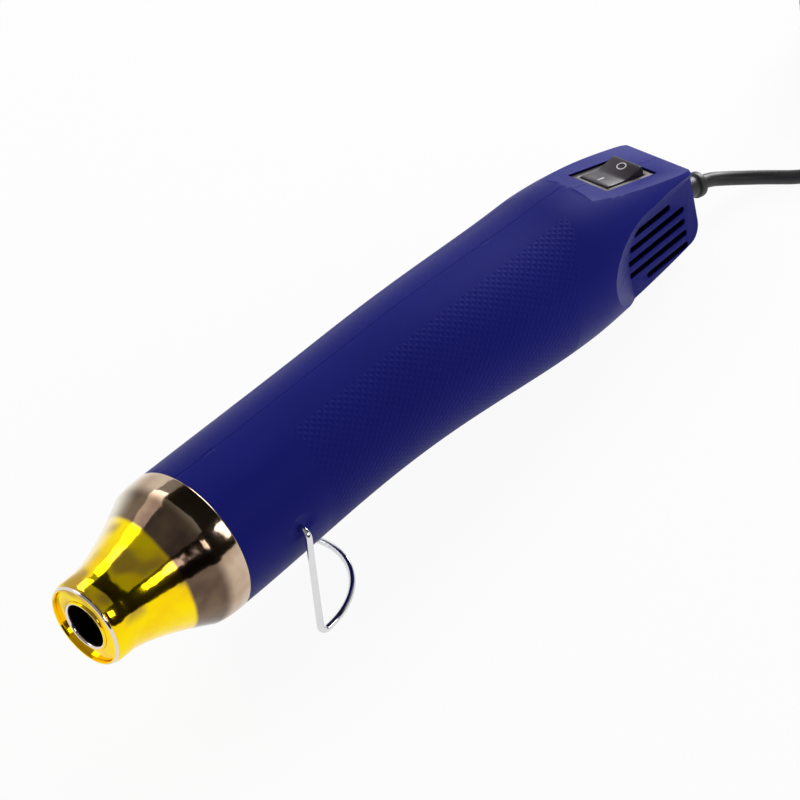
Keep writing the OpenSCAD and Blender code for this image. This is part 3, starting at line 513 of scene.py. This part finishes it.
def slot_tool(x0, x1, z):
    """One vent slot with round ends."""
    bm = bmesh.new()
    made = bmesh.ops.create_circle(bm, segments=16, radius=slot_h / 2, cap_ends=True,
                                   matrix=Matrix.Translation((x1 - slot_h / 2, 6, z))
                                   @ Matrix.Rotation(math.pi / 2, 4, "X"))
    for v in made["verts"]:
        if v.co.x < x1 - slot_h / 2 - 1e-4:
            v.co.x -= x1 - x0 - slot_h
    pushed(bm, bm.faces[:], (0, 14, 0))
    return finish_mesh(bm, "tool", Matrix.Identity(4))


# %% [markdown]
# ## Cut barrel
# The whole barrel is cut once and copied. Both copies lose the same side, and the left one is then
# mirrored to its own. Only the right half has the screw wells.

# %% Cut the barrel
def whole_barrel(name):
    """The skin, hollow, with its plate, scoop, slots, switch opening and holes."""
    shell = barrel(name, collar_x, tool_len, 0)
    hollow = barrel("tool", 56, tool_len - wall, wall, 64, 5)
    cut(hollow, over_plate(3.4 / math.cos(plate_tilt), 2 + wall), scoop(wall))
    cut(shell, over_plate(), scoop())
    cut(shell, hollow)
    cut(shell, rod_tool(front_bore_r, collar_x - 1, front_bore_end, 0, 0, 96, "X"))
    cut(shell, *[slot_tool(x0, x1, slot_top_z - k * slot_pitch)
                 for k, (x0, x1) in enumerate(slot_ends)])
    cut(shell, box_tool((-bezel_len / 2 - 0.2, -bezel_w / 2 - 0.2, -bezel_sink - bezel_t),
                        (bezel_len / 2 + 0.2, bezel_w / 2 + 0.2, 9), AT_SWITCH),
        box_tool((-opening_len / 2, -opening_w / 2, -15), (opening_len / 2, opening_w / 2, 3), AT_SWITCH))
    cut(shell, rod_tool(hinge_hole_r, 14, 30, hinge_x, hinge_z, 32))
    dish_r, dish_deep = 6.2, 0.8
    ball_r = (dish_r ** 2 + dish_deep ** 2) / (2 * dish_deep)
    dish_at = (hinge_x + 0.7, front_r - dish_deep + ball_r, hinge_z + 0.4)
    bm = bmesh.new()
    bmesh.ops.create_uvsphere(bm, u_segments=96, v_segments=64, radius=ball_r,
                              matrix=Matrix.Translation(dish_at))
    cut(shell, finish_mesh(bm, "tool", Matrix.Identity(4)))
    cut(shell, rod_tool(lead_hole_r, tool_len - 6, tool_len + 1, 0, relief_z, 48, "X"))
    return shell


# %% [markdown]
# ## Two halves
# A fine gap between them shows as the seam along the top. A mirrored mesh is turned inside out, so its
# normals are worked out again. Last comes a small bevel on every sharp edge, as a mould gives.

# %% Split the barrel
half_gap = 0.06
right = whole_barrel("shell_right")
left = bpy.data.objects.new("shell_left", right.data.copy())
bpy.context.scene.collection.objects.link(left)
cut(right, box_tool((0, -60, -60), (260, half_gap, 60)))
cut(left, box_tool((0, -60, -60), (260, half_gap, 60)))
cut(right, *[rod_tool(well_r, well_floor, 30, x, z, 32) for x, z in screws])
bmesh_left = bmesh.new()
bmesh_left.from_mesh(left.data)
bmesh.ops.scale(bmesh_left, vec=(1, -1, 1), verts=bmesh_left.verts)
bmesh.ops.recalc_face_normals(bmesh_left, faces=bmesh_left.faces)
bmesh_left.to_mesh(left.data)
bmesh_left.free()
for shell, node in ((left, "housing_left"), (right, "housing_right")):
    edge = shell.modifiers.new("edges", "BEVEL")
    edge.width, edge.segments, edge.limit_method, edge.angle_limit = 0.22, 2, "ANGLE", math.radians(28)
    apply_all(shell)
    shell.data.transform(TOOL)
    shade(shell, 35)
    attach(shell, "tool")
    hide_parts(node)
    print(shell.name, len(shell.data.polygons), "faces")

# %% [markdown]
# ## Nozzle
# The bell is one drawn sheet: a rolled rim, a straight neck, a flare, a rounded shoulder and a straight
# collar. The end plate inside the rim carries the outlet with its own rolled lip. Both are spun from
# their profiles, because that is how a drawn sheet is made.

# %% Nozzle
rim_r, neck_out_r, flare_x, shoulder_x, shoulder_r = 12.5, 12.9, 7.0, 33.0, 21.8
collar_r, bell_t, outlet_r, flare_power = 22.5, 0.8, 6.7, 1.45
flare = [(flare_x + (shoulder_x - flare_x) * t, neck_out_r + (shoulder_r - neck_out_r) * t ** flare_power)
         for t in [i / 28 for i in range(29)]]
bell_profile = (arc(0.7, rim_r - 0.7, 0.7, 200, 40, 10) + [(2, neck_out_r)] + flare
                + [(34.6, 22.15), (36.2, 22.35), (38.5, 22.45), (collar_x - 0.5, collar_r)]
                + arc(collar_x - 0.4, collar_r - 0.4, 0.4, 80, 0, 3)
                + [(collar_x, 19.8), (50.2, 19.8), (50.2, 19.0), (collar_x - bell_t, 19.0),
                   (collar_x - bell_t, collar_r - bell_t), (36, collar_r - bell_t - 0.15)]
                + [(x + 0.24, r - bell_t) for x, r in reversed(flare[1:])] + [(flare_x, 11.6), (0.7, 11.6)])
bell = spun(bell_profile, "bell", TOOL, 192, True, 50)
plate_in = 0.9
plate_profile = ([(6, outlet_r), (6, outlet_r + 0.6), (plate_in + 0.7, outlet_r + 0.6), (plate_in + 0.7, 11.0),
                  (plate_in + 3, 11.0), (plate_in + 3, 11.6), (plate_in + 0.4, 11.6)]
                 + arc(plate_in + 0.4, 11.2, 0.4, 90, 180, 3)
                 + [(plate_in, outlet_r + 1.6), (plate_in - 0.1, outlet_r + 1.25)]
                 + arc(plate_in - 0.1, outlet_r + 0.6, 0.6, 90, 270, 8))
end_plate = spun(plate_profile, "end_plate", TOOL, 128, True, 50)
for piece, node in ((bell, "nozzle_bell"), (end_plate, "outlet_plate")):
    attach(piece, "tool")
    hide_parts(node)
    print(piece.name, len(piece.data.polygons), "faces")

# %% [markdown]
# ## Rocker switch
# The snap-in switch has a flat bezel round a deep well, and a rocker whose two faces meet in a shallow
# valley. In the picture the front end is pressed. The circle and the line are the usual off and on
# marks, and are thin raised prints.

# %% Switch frame
pivot_z, rocker_r, rocker_w, rocker_tilt = -bezel_sink - 1.6, 7.9, 10.6, math.radians(11)
well_len, well_w, well_depth = 2 * rocker_r + 0.7, rocker_w + 0.5, 6.5
AT_PLATE = TOOL @ AT_SWITCH
bezel = box_tool((-bezel_len / 2, -bezel_w / 2, -bezel_sink - bezel_t),
                 (bezel_len / 2, bezel_w / 2, -bezel_sink), name="switch_bezel")
cut(bezel, box_tool((-9.4, -6.4, -bezel_sink - 12.9), (9.4, 6.4, -bezel_sink - 0.5)), how="UNION")
cut(bezel, box_tool((-well_len / 2, -well_w / 2, -bezel_sink - well_depth), (well_len / 2, well_w / 2, 9)))
edge = bezel.modifiers.new("edges", "BEVEL")
edge.width, edge.segments, edge.limit_method = 0.18, 2, "ANGLE"
apply_all(bezel)
bezel.data.transform(AT_PLATE)
shade(bezel, 35)
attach(bezel, "tool")
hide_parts("switch_frame")

# %% Rocker
rocker_mid = 2.1
AT_ROCKER = AT_PLATE @ Matrix.Translation((0, 0, pivot_z)) @ Matrix.Rotation(-rocker_tilt, 4, "Y")
bm = bmesh.new()
rise = math.tan(rocker_tilt)
outline = [(0, rocker_mid)]
for i in range(1, 9):
    x = 7.1 * i / 8
    outline.append((x, rocker_mid + x * rise - 0.10 * math.sin(math.pi * i / 8)))
round_end = [math.radians(25 - 7 * k) for k in range(7)]
outline += [(rocker_r * math.cos(a), rocker_r * math.sin(a)) for a in round_end]
outline = [p for p in outline if math.hypot(*p) <= rocker_r + 1e-6]
outline += [(7.4, -2.5)]
full = outline + [(-x, z) for x, z in reversed(outline) if x > 1e-6]
face = bm.faces.new([bm.verts.new((x, -rocker_w / 2, z)) for x, z in full])
pushed(bm, [face], (0, rocker_w, 0))
rocker = finish_mesh(bm, "rocker_cap", AT_ROCKER)
edge = rocker.modifiers.new("edges", "BEVEL")
edge.width, edge.segments, edge.limit_method, edge.angle_limit = 0.0003, 3, "ANGLE", math.radians(50)
apply_all(rocker)
shade(rocker, 40)
mark_x = 4.4
mark_z = rocker_mid + mark_x * rise - 0.07
AT_OFF = AT_ROCKER @ Matrix.Translation((mark_x, 0, mark_z)) @ Matrix.Rotation(-rocker_tilt, 4, "Y")
AT_ON = AT_ROCKER @ Matrix.Translation((-mark_x, 0, mark_z)) @ Matrix.Rotation(rocker_tilt, 4, "Y")
off_mark = spun([(-0.06, 1.15), (0.05, 1.15), (0.05, 1.5), (-0.06, 1.5)], "off_mark",
                AT_OFF @ Matrix.Rotation(-math.pi / 2, 4, "Y"), 48)
on_mark = box_tool((-1.3, -0.19, -0.06), (1.3, 0.19, 0.05), AT_ON, "on_mark")
for piece in (rocker, off_mark, on_mark):
    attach(piece, "switch_rocker")
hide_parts("rocker")
print("rocker", 2 * rocker_r, "x", rocker_w, "mm, tilted", round(math.degrees(rocker_tilt)), "degrees")

# %% [markdown]
# ## Wire stand
# The stand is one bright wire, bent: two pins that turn in the housing, two legs, and a half-round foot
# that lies flat on the table. It is drawn as a curve through its bends, then made a mesh.

# %% Wire stand
wire_r, wire_bend = 1.0, 2.2
leg_y, leg_drop, leg_lean, foot_run = 24.4, 33.5, math.radians(10), 0.3
fold = next(j for j in frame["joints"] if j["name"] == "stand_fold")
turn_a = math.pi / 2 + leg_lean
turn_t = wire_bend * math.tan(turn_a / 2)
foot_x = -leg_drop * math.tan(leg_lean)
bow_x = foot_x + turn_t + foot_run


def lean(x, y, z):
    """A point of the leg, turned about the hinge by the leg's lean."""
    c, s = math.cos(leg_lean), math.sin(leg_lean)
    return Vector((x * c + z * s, y, z * c - x * s))


boss_in = leg_y - wire_bend - 4.6
stand_side = [lean(0, boss_in, 0)]
for i in range(9):  # the bend from the pin into the leg
    a = math.radians(90 - 11.25 * i)
    stand_side.append(lean(0, leg_y + wire_bend * (math.cos(a) - 1), wire_bend * (math.sin(a) - 1)))
for i in range(10):  # the bend from the leg into the foot
    a = math.pi - leg_lean + turn_a * i / 9
    stand_side.append(Vector((foot_x + turn_t + wire_bend * math.cos(a), leg_y,
                              wire_bend * (1 + math.sin(a)) - leg_drop)))
stand_bow = [Vector((bow_x + leg_y * math.cos(a), leg_y * math.sin(a), -leg_drop))
             for a in [math.pi / 2 - math.pi * i / 48 for i in range(49)]]
stand_line = stand_side + stand_bow + [Vector((p.x, -p.y, p.z)) for p in reversed(stand_side)]
at_hinge = Vector(fold["pos_m"])
stand = wire([at_hinge + p * MM for p in stand_line], wire_r * MM, "bent_wire", 6)
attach(stand, "stand")
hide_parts("wire_stand")
print("stand wire", round(line_length(stand_line)), "mm long,", 2 * wire_r, "mm thick")

# %% [markdown]
# ## Screws
# Four cross-head screws hold the halves together, sunk in round wells on the far side. A turned head
# with a domed rim gets its cross cut out.

# %% Screws
def screw_head(x, z, name):
    """A head at the bottom of its well, with a cross cut into it."""
    at_screw = Matrix.Translation((x, 8.0, z)) @ Matrix.Rotation(math.pi / 2, 4, "Z")
    profile = [(-2.0, 0.01), (-2.0, 2.7), (-0.5, 2.7), (-0.25, 2.6), (-0.05, 2.2), (0.0, 1.6), (0.0, 0.01)]
    head = spun(profile, name, Matrix.Identity(4), 40)
    for turn in (0, math.pi / 2):
        cut(head, box_tool((-1.1, -1.5, -0.3), (0.2, 1.5, 0.3), Matrix.Rotation(turn, 4, "X")))
    head.data.transform(TOOL @ at_screw)
    shade(head, 35)
    return head


screw_heads = [screw_head(x, z, "screw_head_%d" % i) for i, (x, z) in enumerate(screws)]
for head in screw_heads:
    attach(head, "tool")
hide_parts("housing_screws")
print(len(screw_heads), "screw heads at", screws)

# %% [markdown]
# ## Shader maths
# A finish is a formula over the surface. One small class lets a socket take part in a Python sum, and
# one method adds any other node, so a material reads like the formula that it is.

# %% Shader helpers
class Value:
    """A shader socket that can be used in sums."""

    def __init__(self, tree, socket):
        self.tree, self.socket = tree, socket

    def math(self, kind, other=0.0):
        """Adds a Math node that takes this value first."""
        return self.tree.node("ShaderNodeMath", {"operation": kind}, {0: self, 1: other})

    def __add__(self, other):
        return self.math("ADD", other)

    def __sub__(self, other):
        return self.math("SUBTRACT", other)

    def __mul__(self, other):
        return self.math("MULTIPLY", other)

    def __rsub__(self, other):
        return self.tree.node("ShaderNodeMath", {"operation": "SUBTRACT"}, {0: other, 1: self})

    __radd__ = __add__
    __rmul__ = __mul__

    def band(self, low, high):
        """0 below low, 1 above high, smooth between."""
        return self.tree.node("ShaderNodeMapRange", {"interpolation_type": "SMOOTHSTEP"},
                              {"Value": self, "From Min": low, "From Max": high})


class Finish:
    """A material and its nodes."""

    def __init__(self, name, **settings):
        self.material = bpy.data.materials.new(name)
        self.material.use_nodes = True
        self.nodes = self.material.node_tree.nodes
        self.links = self.material.node_tree.links
        self.shader = self.nodes["Principled BSDF"]
        for key, value in settings.items():
            self.set(key.replace("_", " ").title().replace("Ior", "IOR"), value)
        self.place = self.node("ShaderNodeTexCoord", {}, {}, "Object")

    def node(self, kind, settings, values, output=0):
        """Adds any node: its type, its settings, what its sockets get, and the output to use."""
        made = self.nodes.new(kind)
        for key, value in settings.items():
            setattr(made, key, value)
        for key, value in values.items():
            if isinstance(value, Value):
                self.links.new(value.socket, made.inputs[key])
            else:
                made.inputs[key].default_value = value
        return Value(self, made.outputs[output])

    def set(self, name, value):
        """Sets or links a socket of the shader itself."""
        if isinstance(value, Value):
            self.links.new(value.socket, self.shader.inputs[name])
        else:
            self.shader.inputs[name].default_value = value

    def noise(self, scale, detail=2.0, where=None, rough=0.5):
        return self.node("ShaderNodeTexNoise", {}, {"Vector": where or self.place, "Scale": scale,
                                                    "Detail": detail, "Roughness": rough})

    def dot(self, where, direction):
        return self.node("ShaderNodeVectorMath", {"operation": "DOT_PRODUCT"},
                         {0: where, 1: tuple(direction)}, "Value")

    def from_point(self, point, axes):
        """How far the place lies from a point along each axis, in millimetres."""
        moved = self.node("ShaderNodeVectorMath", {"operation": "SUBTRACT"}, {0: self.place, 1: tuple(point)},
                          "Vector")
        return [self.dot(moved, axis) * 1000 for axis in axes]

    def mix(self, factor, a, b):
        made = self.nodes.new("ShaderNodeMix")
        made.data_type = "RGBA"
        for key, value in ((0, factor), (6, a), (7, b)):
            if isinstance(value, Value):
                self.links.new(value.socket, made.inputs[key])
            else:
                made.inputs[key].default_value = value if key == 0 else (*value, 1)
        return Value(self, made.outputs[2])

    def bump(self, height, strength, distance):
        self.set("Normal", self.node("ShaderNodeBump", {}, {"Height": height, "Strength": strength,
                                                            "Distance": distance}, "Normal"))

    def tool_place(self):
        """Place along the tool's axis, to its side and over it, from the nozzle's tip."""
        return self.from_point(tip, (along, side, up))

    def plate_place(self):
        """Place along, across and over the sloping plate, from the switch's middle."""
        return self.from_point(AT_PLATE.translation, [AT_PLATE.col[i].to_3d().normalized() for i in range(3)])


def srgb(red, green, blue):
    """Colour from 0-255 screen values."""
    shares = [c / 255 for c in (red, green, blue)]
    return tuple(c / 12.92 if c <= 0.04045 else ((c + 0.055) / 1.055) ** 2.4 for c in shares)


# %% [markdown]
# ## Blue moulded plastic
# The barrel is a matte, deep royal blue. A field of small diamonds covers both flanks of the grip, from
# behind the stand to a slanting line before the tail, and leaves a smooth strip along the top. The
# diamonds follow the barrel: they are crossed stripes in the angle round it and the place along it.
# Shade inside the vent slots and in the switch's pocket is painted in: the plastic there is near-black.

# %% Blue plastic
def blue_plastic():
    f = Finish("blue_plastic", specular_ior_level=0.12, specular_tint=(0.45, 0.5, 1, 1))
    x, y, z = f.tool_place()
    turn = y.math("ARCTAN2", z + 2.0)
    round_about = turn * 22.0
    waves = 2 * math.pi / 2.1
    one = ((x * 0.8 + round_about) * waves).math("SINE")
    two = ((x * 0.8 - round_about) * waves).math("SINE")
    diamonds = one.math("MAXIMUM", two)
    spread = turn.math("ABSOLUTE")
    rear = 188 - 14 * spread.band(0.4, 1.7) - x
    field = rear.band(-0.5, 0.5) * x.band(73, 77) * spread.band(0.42, 0.5)
    grain = f.noise(900, 3)
    cloud = f.noise(18, 3)
    depth = y.math("ABSOLUTE")
    # Painted shade: inside the vent slots, and in the switch's pocket below, the plastic is painted near-black
    # where shade falls.
    vent = x.band(204, 205) * (1 - depth.band(panel_y - 0.5, panel_y - 0.3)) * (1 - z.band(-1.8, -1.4))
    lengthwise, across, over = f.plate_place()
    pocket_painted_shade = 1 - over.band(-0.35, -0.15)
    for distance, half in ((lengthwise, bezel_len / 2), (across, bezel_w / 2)):
        pocket_painted_shade = pocket_painted_shade * (1 - distance.math("ABSOLUTE").band(half + 0.4, half + 0.5))
    painted_shade = vent.math("MAXIMUM", pocket_painted_shade)
    skin = f.mix(cloud.band(0.3, 0.7), srgb(17, 20, 108), srgb(20, 23, 116))
    f.set("Base Color", f.mix(painted_shade, skin, srgb(4, 5, 18)))
    f.set("Roughness", 0.42 + 0.12 * grain + 0.08 * field)
    f.bump(0.09 * diamonds * field + 0.05 * grain, 0.55, 0.0007)
    return f.material


blue = blue_plastic()
print(blue.name, len(blue.node_tree.nodes), "nodes")

# %% [markdown]
# ## Heat-tinted steel
# Hot steel takes colours: straw and gold on the neck, where it is hottest, then brown and a smoky grey
# toward the collar. The tint is a function of the distance from the tip, with a slanting, uneven edge. A
# painted highlight pales it toward one side, and painted dark reflections darken the gold above. The rolled
# rim and lip keep plain steel. The outlet's bore and the inside of the bell are painted near-black as shade.

# %% Tinted steel
def tinted_steel():
    f = Finish("tinted_steel", metallic=1.0)
    x, y, z = f.tool_place()
    turn = y.math("ARCTAN2", z)
    radius = (y * y + z * z).math("SQRT")
    edge = x + 1.6 * f.noise(60, 2) - 27 + 2.5 * (turn + 0.9).math("COSINE")
    cloud = f.noise(90, 3)
    gold = f.mix(cloud.band(0.35, 0.65), srgb(255, 226, 10), srgb(252, 208, 18))
    smoke = f.mix(cloud.band(0.3, 0.7), srgb(120, 100, 80), srgb(88, 70, 60))
    tan = f.mix(cloud.band(0.3, 0.7), srgb(206, 184, 160), srgb(176, 150, 124))
    back = f.mix(x.band(32, 36), smoke, tan)
    # Painted reflection: noise patches darken the gold on the upper side in place of dark reflections.
    painted_dark_reflection = f.noise(135, 1, rough=0.3).band(0.42, 0.7) * (1 - turn.math("ABSOLUTE").band(1.2, 1.5))
    gold = f.mix(0.75 * painted_dark_reflection, gold, srgb(158, 124, 58))
    tint_and_painted_light = f.mix(edge.band(-0.7, 0.7), gold, back)
    rim = (1 - x.band(0.5, 1.1)) * radius.band(11.9, 12.15)
    lip = (1 - radius.band(7.15, 7.35)) * (1 - x.band(1.6, 1.8))
    # Painted highlight: toward one side the tint pales to near-white, where a bright reflection falls.
    painted_highlight = turn.band(0.25, 0.8) * (1 - turn.band(1.5, 2.2)) * x.band(5, 12)
    tint_and_painted_light = f.mix(0.8 * painted_highlight, tint_and_painted_light, srgb(252, 244, 222))
    plain = f.mix(rim.math("MAXIMUM", lip), tint_and_painted_light, srgb(226, 216, 212))
    # Painted shade: the outlet's bore and the inside of the bell are painted near-black and rough, as they lie in
    # shade.
    bore_painted_shade = x.band(0.75, 1.1) * (1 - radius.band(6.72, 6.9))
    hollow_painted_shade = bore_painted_shade.math("MAXIMUM", x.band(1.75, 1.8) * (1 - radius.band(11.65, 11.8)))
    f.set("Base Color", f.mix(hollow_painted_shade, plain, srgb(14, 12, 10)))
    f.set("Roughness", 0.07 + 0.06 * f.noise(140, 3) + 0.12 * painted_highlight + 0.6 * hollow_painted_shade)
    f.bump(f.noise(150, 2), 0.25, 0.0006)
    return f.material


tinted = tinted_steel()
print(tinted.name, len(tinted.node_tree.nodes), "nodes")

# %% [markdown]
# ## Other finishes
# The rest are plain moulded, turned or drawn materials. Each gets the grain that it shows, and the switch frame a
# painted highlight.

# %% Plain finishes
def moulded(name, colour, rough=0.45, grain=1200.0, depth=0.00012):
    """Moulded plastic or rubber with a fine grain."""
    f = Finish(name, roughness=rough)
    fine = f.noise(grain, 3)
    cloud = f.noise(25, 2)
    f.set("Base Color", f.mix(cloud, [0.88 * c for c in colour], [min(1, 1.12 * c) for c in colour]))
    f.set("Roughness", rough - 0.06 + 0.12 * fine)
    f.bump(fine, 0.3, depth)
    return f.material


def metal(name, colour, rough=0.25, streak=500.0):
    """Bare or plated metal with faint drawing lines."""
    f = Finish(name, metallic=1.0, roughness=rough)
    stretched = f.node("ShaderNodeMapping", {}, {"Vector": f.place, "Scale": (0.06, 1, 1)}, "Vector")
    lines = f.noise(streak, 3, stretched)
    f.set("Base Color", f.mix(lines, tuple(0.9 * c for c in colour), colour))
    f.set("Roughness", rough - 0.08 + 0.16 * lines)
    return f.material


def mica_board():
    f = Finish("mica_board", roughness=0.6)
    flakes = f.node("ShaderNodeTexVoronoi", {}, {"Vector": f.place, "Scale": 600.0}, "Distance")
    f.set("Base Color", f.mix(flakes, srgb(196, 182, 150), srgb(150, 132, 98)))
    f.set("Roughness", 0.45 + 0.4 * flakes)
    f.bump(flakes, 0.3, 0.0002)
    return f.material


def bezel_plastic():
    """The switch frame: dull black, with a warm grey painted highlight away from its front end."""
    f = Finish("switch_plastic", roughness=0.4)
    lengthwise, across, over = f.plate_place()
    # Painted highlight: the lit strip of the frame is painted warm grey.
    painted_lit_strip = lengthwise.band(-9, -5) * (1 - across.band(3, 7))
    f.set("Base Color", f.mix(painted_lit_strip, srgb(22, 18, 22), srgb(92, 84, 84)))
    f.bump(f.noise(1200, 3), 0.3, 0.00012)
    return f.material


rocker_finish = moulded("rocker_plastic", srgb(30, 15, 34), 0.36)
black_finish = moulded("black_plastic", srgb(38, 36, 40), 0.4)
frame_finish = bezel_plastic()
rubber = moulded("cord_rubber", srgb(30, 27, 31), 0.45, 900)
mark_print = moulded("mark_print", srgb(205, 202, 208), 0.5)
white_tie = moulded("tie_plastic", srgb(228, 228, 224), 0.4)
steel = metal("plain_steel", srgb(190, 190, 194), 0.3)
bright = metal("bright_wire", srgb(226, 226, 228), 0.12)
nickel = metal("nickel", srgb(214, 210, 200), 0.2)
brass = metal("brass", srgb(214, 182, 112), 0.28)
copper = metal("copper", srgb(206, 132, 92), 0.3)
mica = mica_board()
green_board = moulded("circuit_board", srgb(40, 102, 58), 0.35)

# %% [markdown]
# ## Finishes on pieces and nodes
# Each piece gets its finish, and each CAD node the one of its material slot, so that whatever part of
# the engineering model shows through a vent or an outlet looks right too.

# %% Put the finishes on
def coat(obj, material):
    """Gives an object one material for all its faces."""
    obj.data.materials.clear()
    obj.data.materials.append(material)
    if obj.type == "MESH":
        for polygon in obj.data.polygons:
            polygon.material_index = 0


pieces = {left: blue, right: blue, bell: tinted, end_plate: tinted, bezel: frame_finish,
          rocker: rocker_finish, off_mark: mark_print, on_mark: mark_print, stand: bright,
          lead: rubber, relief: rubber, plug: black_finish, plug_neck: black_finish, tie: white_tie}
pieces.update({p: nickel for p in pins})
pieces.update({p: black_finish for p in pin_sleeves})
pieces.update({p: steel for p in screw_heads})
for piece, material in pieces.items():
    coat(piece, material)
node_finish = {"blue_plastic": blue, "gold_steel": tinted, "steel": steel, "bright_wire": bright,
               "mica": mica, "black_plastic": black_finish, "cord_rubber": rubber, "copper": copper,
               "brass": brass, "nickel": nickel, "circuit_board": green_board, "white_tie": white_tie}
slot_of = {s["node"]: s["material_slot"] for s in frame["record"]["subparts"]}
for name, node in frame["nodes"].items():
    coat(node, node_finish[slot_of[name]])
print(len(pieces), "pieces and", len(frame["nodes"]), "nodes have a finish")

# %% [markdown]
# ## Floor
# The picture has a white ground with hardly a shadow. The floor is white to the camera and to
# reflections, and keeps a soft trace of the shadow. One mix of two shaders does that: a matte paper and
# an even glow, by what kind of ray looks at it.

# %% Floor
bm = bmesh.new()
bmesh.ops.create_grid(bm, x_segments=1, y_segments=1, size=3.0)
floor = finish_mesh(bm, "floor", Matrix.Translation((0, 0, 0)))
glow_share = 0.93


def white_ground():
    """Paper that glows white to the camera and in reflections, and keeps a trace of the shadow."""
    f = Finish("white_ground", base_color=(0.86, 0.86, 0.86, 1), roughness=0.9)
    camera_ray, glossy_ray, through_ray = [f.node("ShaderNodeLightPath", {}, {}, "Is %s Ray" % kind)
                                           for kind in ("Camera", "Glossy", "Transmission")]
    seen = camera_ray.math("MAXIMUM", glossy_ray).math("MAXIMUM", through_ray) * glow_share
    glow = f.node("ShaderNodeEmission", {}, {"Strength": 1.0})
    paper = Value(f, f.shader.outputs[0])
    mixed = f.node("ShaderNodeMixShader", {}, {0: seen, 1: paper, 2: glow})
    f.links.new(mixed.socket, f.nodes["Material Output"].inputs["Surface"])
    return f.material


ground = white_ground()
floor.data.materials.append(ground)

# %% [markdown]
# ## World and lamps
# The world is a plain, low light from all sides. Four softboxes do the rest: one above and behind, a
# strong one low behind the tail, which lights the sloping plate, and two small ones in front, which give
# the metal its bright patches. Rectangles show as clean windows in polished steel.

# %% World and lamps
bpy.context.scene.view_settings.view_transform = "Standard"
world = bpy.data.worlds.new("studio")
bpy.context.scene.world = world
world.use_nodes = True
world.node_tree.nodes["Background"].inputs["Color"].default_value = (1, 1, 1, 1)
world.node_tree.nodes["Background"].inputs["Strength"].default_value = 0.3


def softbox(name, at, size, power, aim=(0, 0, 0.03)):
    """A rectangular lamp at a place, aimed at the tool."""
    lamp = bpy.data.lights.new(name, "AREA")
    lamp.shape, lamp.size, lamp.size_y, lamp.energy = "RECTANGLE", size[0], size[1], power
    obj = bpy.data.objects.new(name, lamp)
    bpy.context.scene.collection.objects.link(obj)
    obj.location = at
    obj.rotation_mode = "QUATERNION"
    obj.rotation_quaternion = (Vector(aim) - Vector(at)).to_track_quat("-Z", "Y")
    print(name, power, "W")


softbox("back_box", (-0.13, 0.74, 1.05), (1.0, 0.5), 4)
softbox("rear_box", (1.05, 0.22, 0.32), (0.5, 0.5), 12)
softbox("right_box", (0.59, -1.02, 0.55), (0.26, 0.5), 2)
softbox("left_box", (-0.33, -1.07, 0.67), (0.34, 0.28), 1.8)

# %% [markdown]
# ## Cards for the reflections
# Polished metal shows the whole room. A white sheet behind and two dark cards, in front and above, stand
# for the studio. The camera doesn't see them, so they don't hide the tool in a view from behind.

# %% Cards
def card(name, middle, across, rise, material):
    """A flat card from its middle and its two half sides."""
    bm = bmesh.new()
    corners = [Vector(middle) + a * Vector(across) + b * Vector(rise)
               for a, b in ((-1, -1), (1, -1), (1, 1), (-1, 1))]
    bm.faces.new([bm.verts.new(c) for c in corners])
    obj = finish_mesh(bm, name, Matrix.Identity(4))
    obj.data.materials.append(material)
    return obj


backdrop = card("backdrop", (0, 1.7, 0.8), (2.6, 0, 0), (0, 0, 0.8), ground)
backdrop.visible_camera = False
unlit = Finish("unlit_room", base_color=(0.02, 0.016, 0.012, 1), roughness=1.0).material
for name, middle, across, rise in (("front_dark", (0, -2.4, 1.2), (3.2, 0, 0), (0, 0, 1.15)),
                                   ("top_dark", (1.6, -0.6, 2.2), (1.3, 0, 0), (0, 1.7, 0))):
    dark = card(name, middle, across, rise, unlit)
    dark.visible_camera = dark.visible_diffuse = dark.visible_shadow = dark.visible_transmission = False
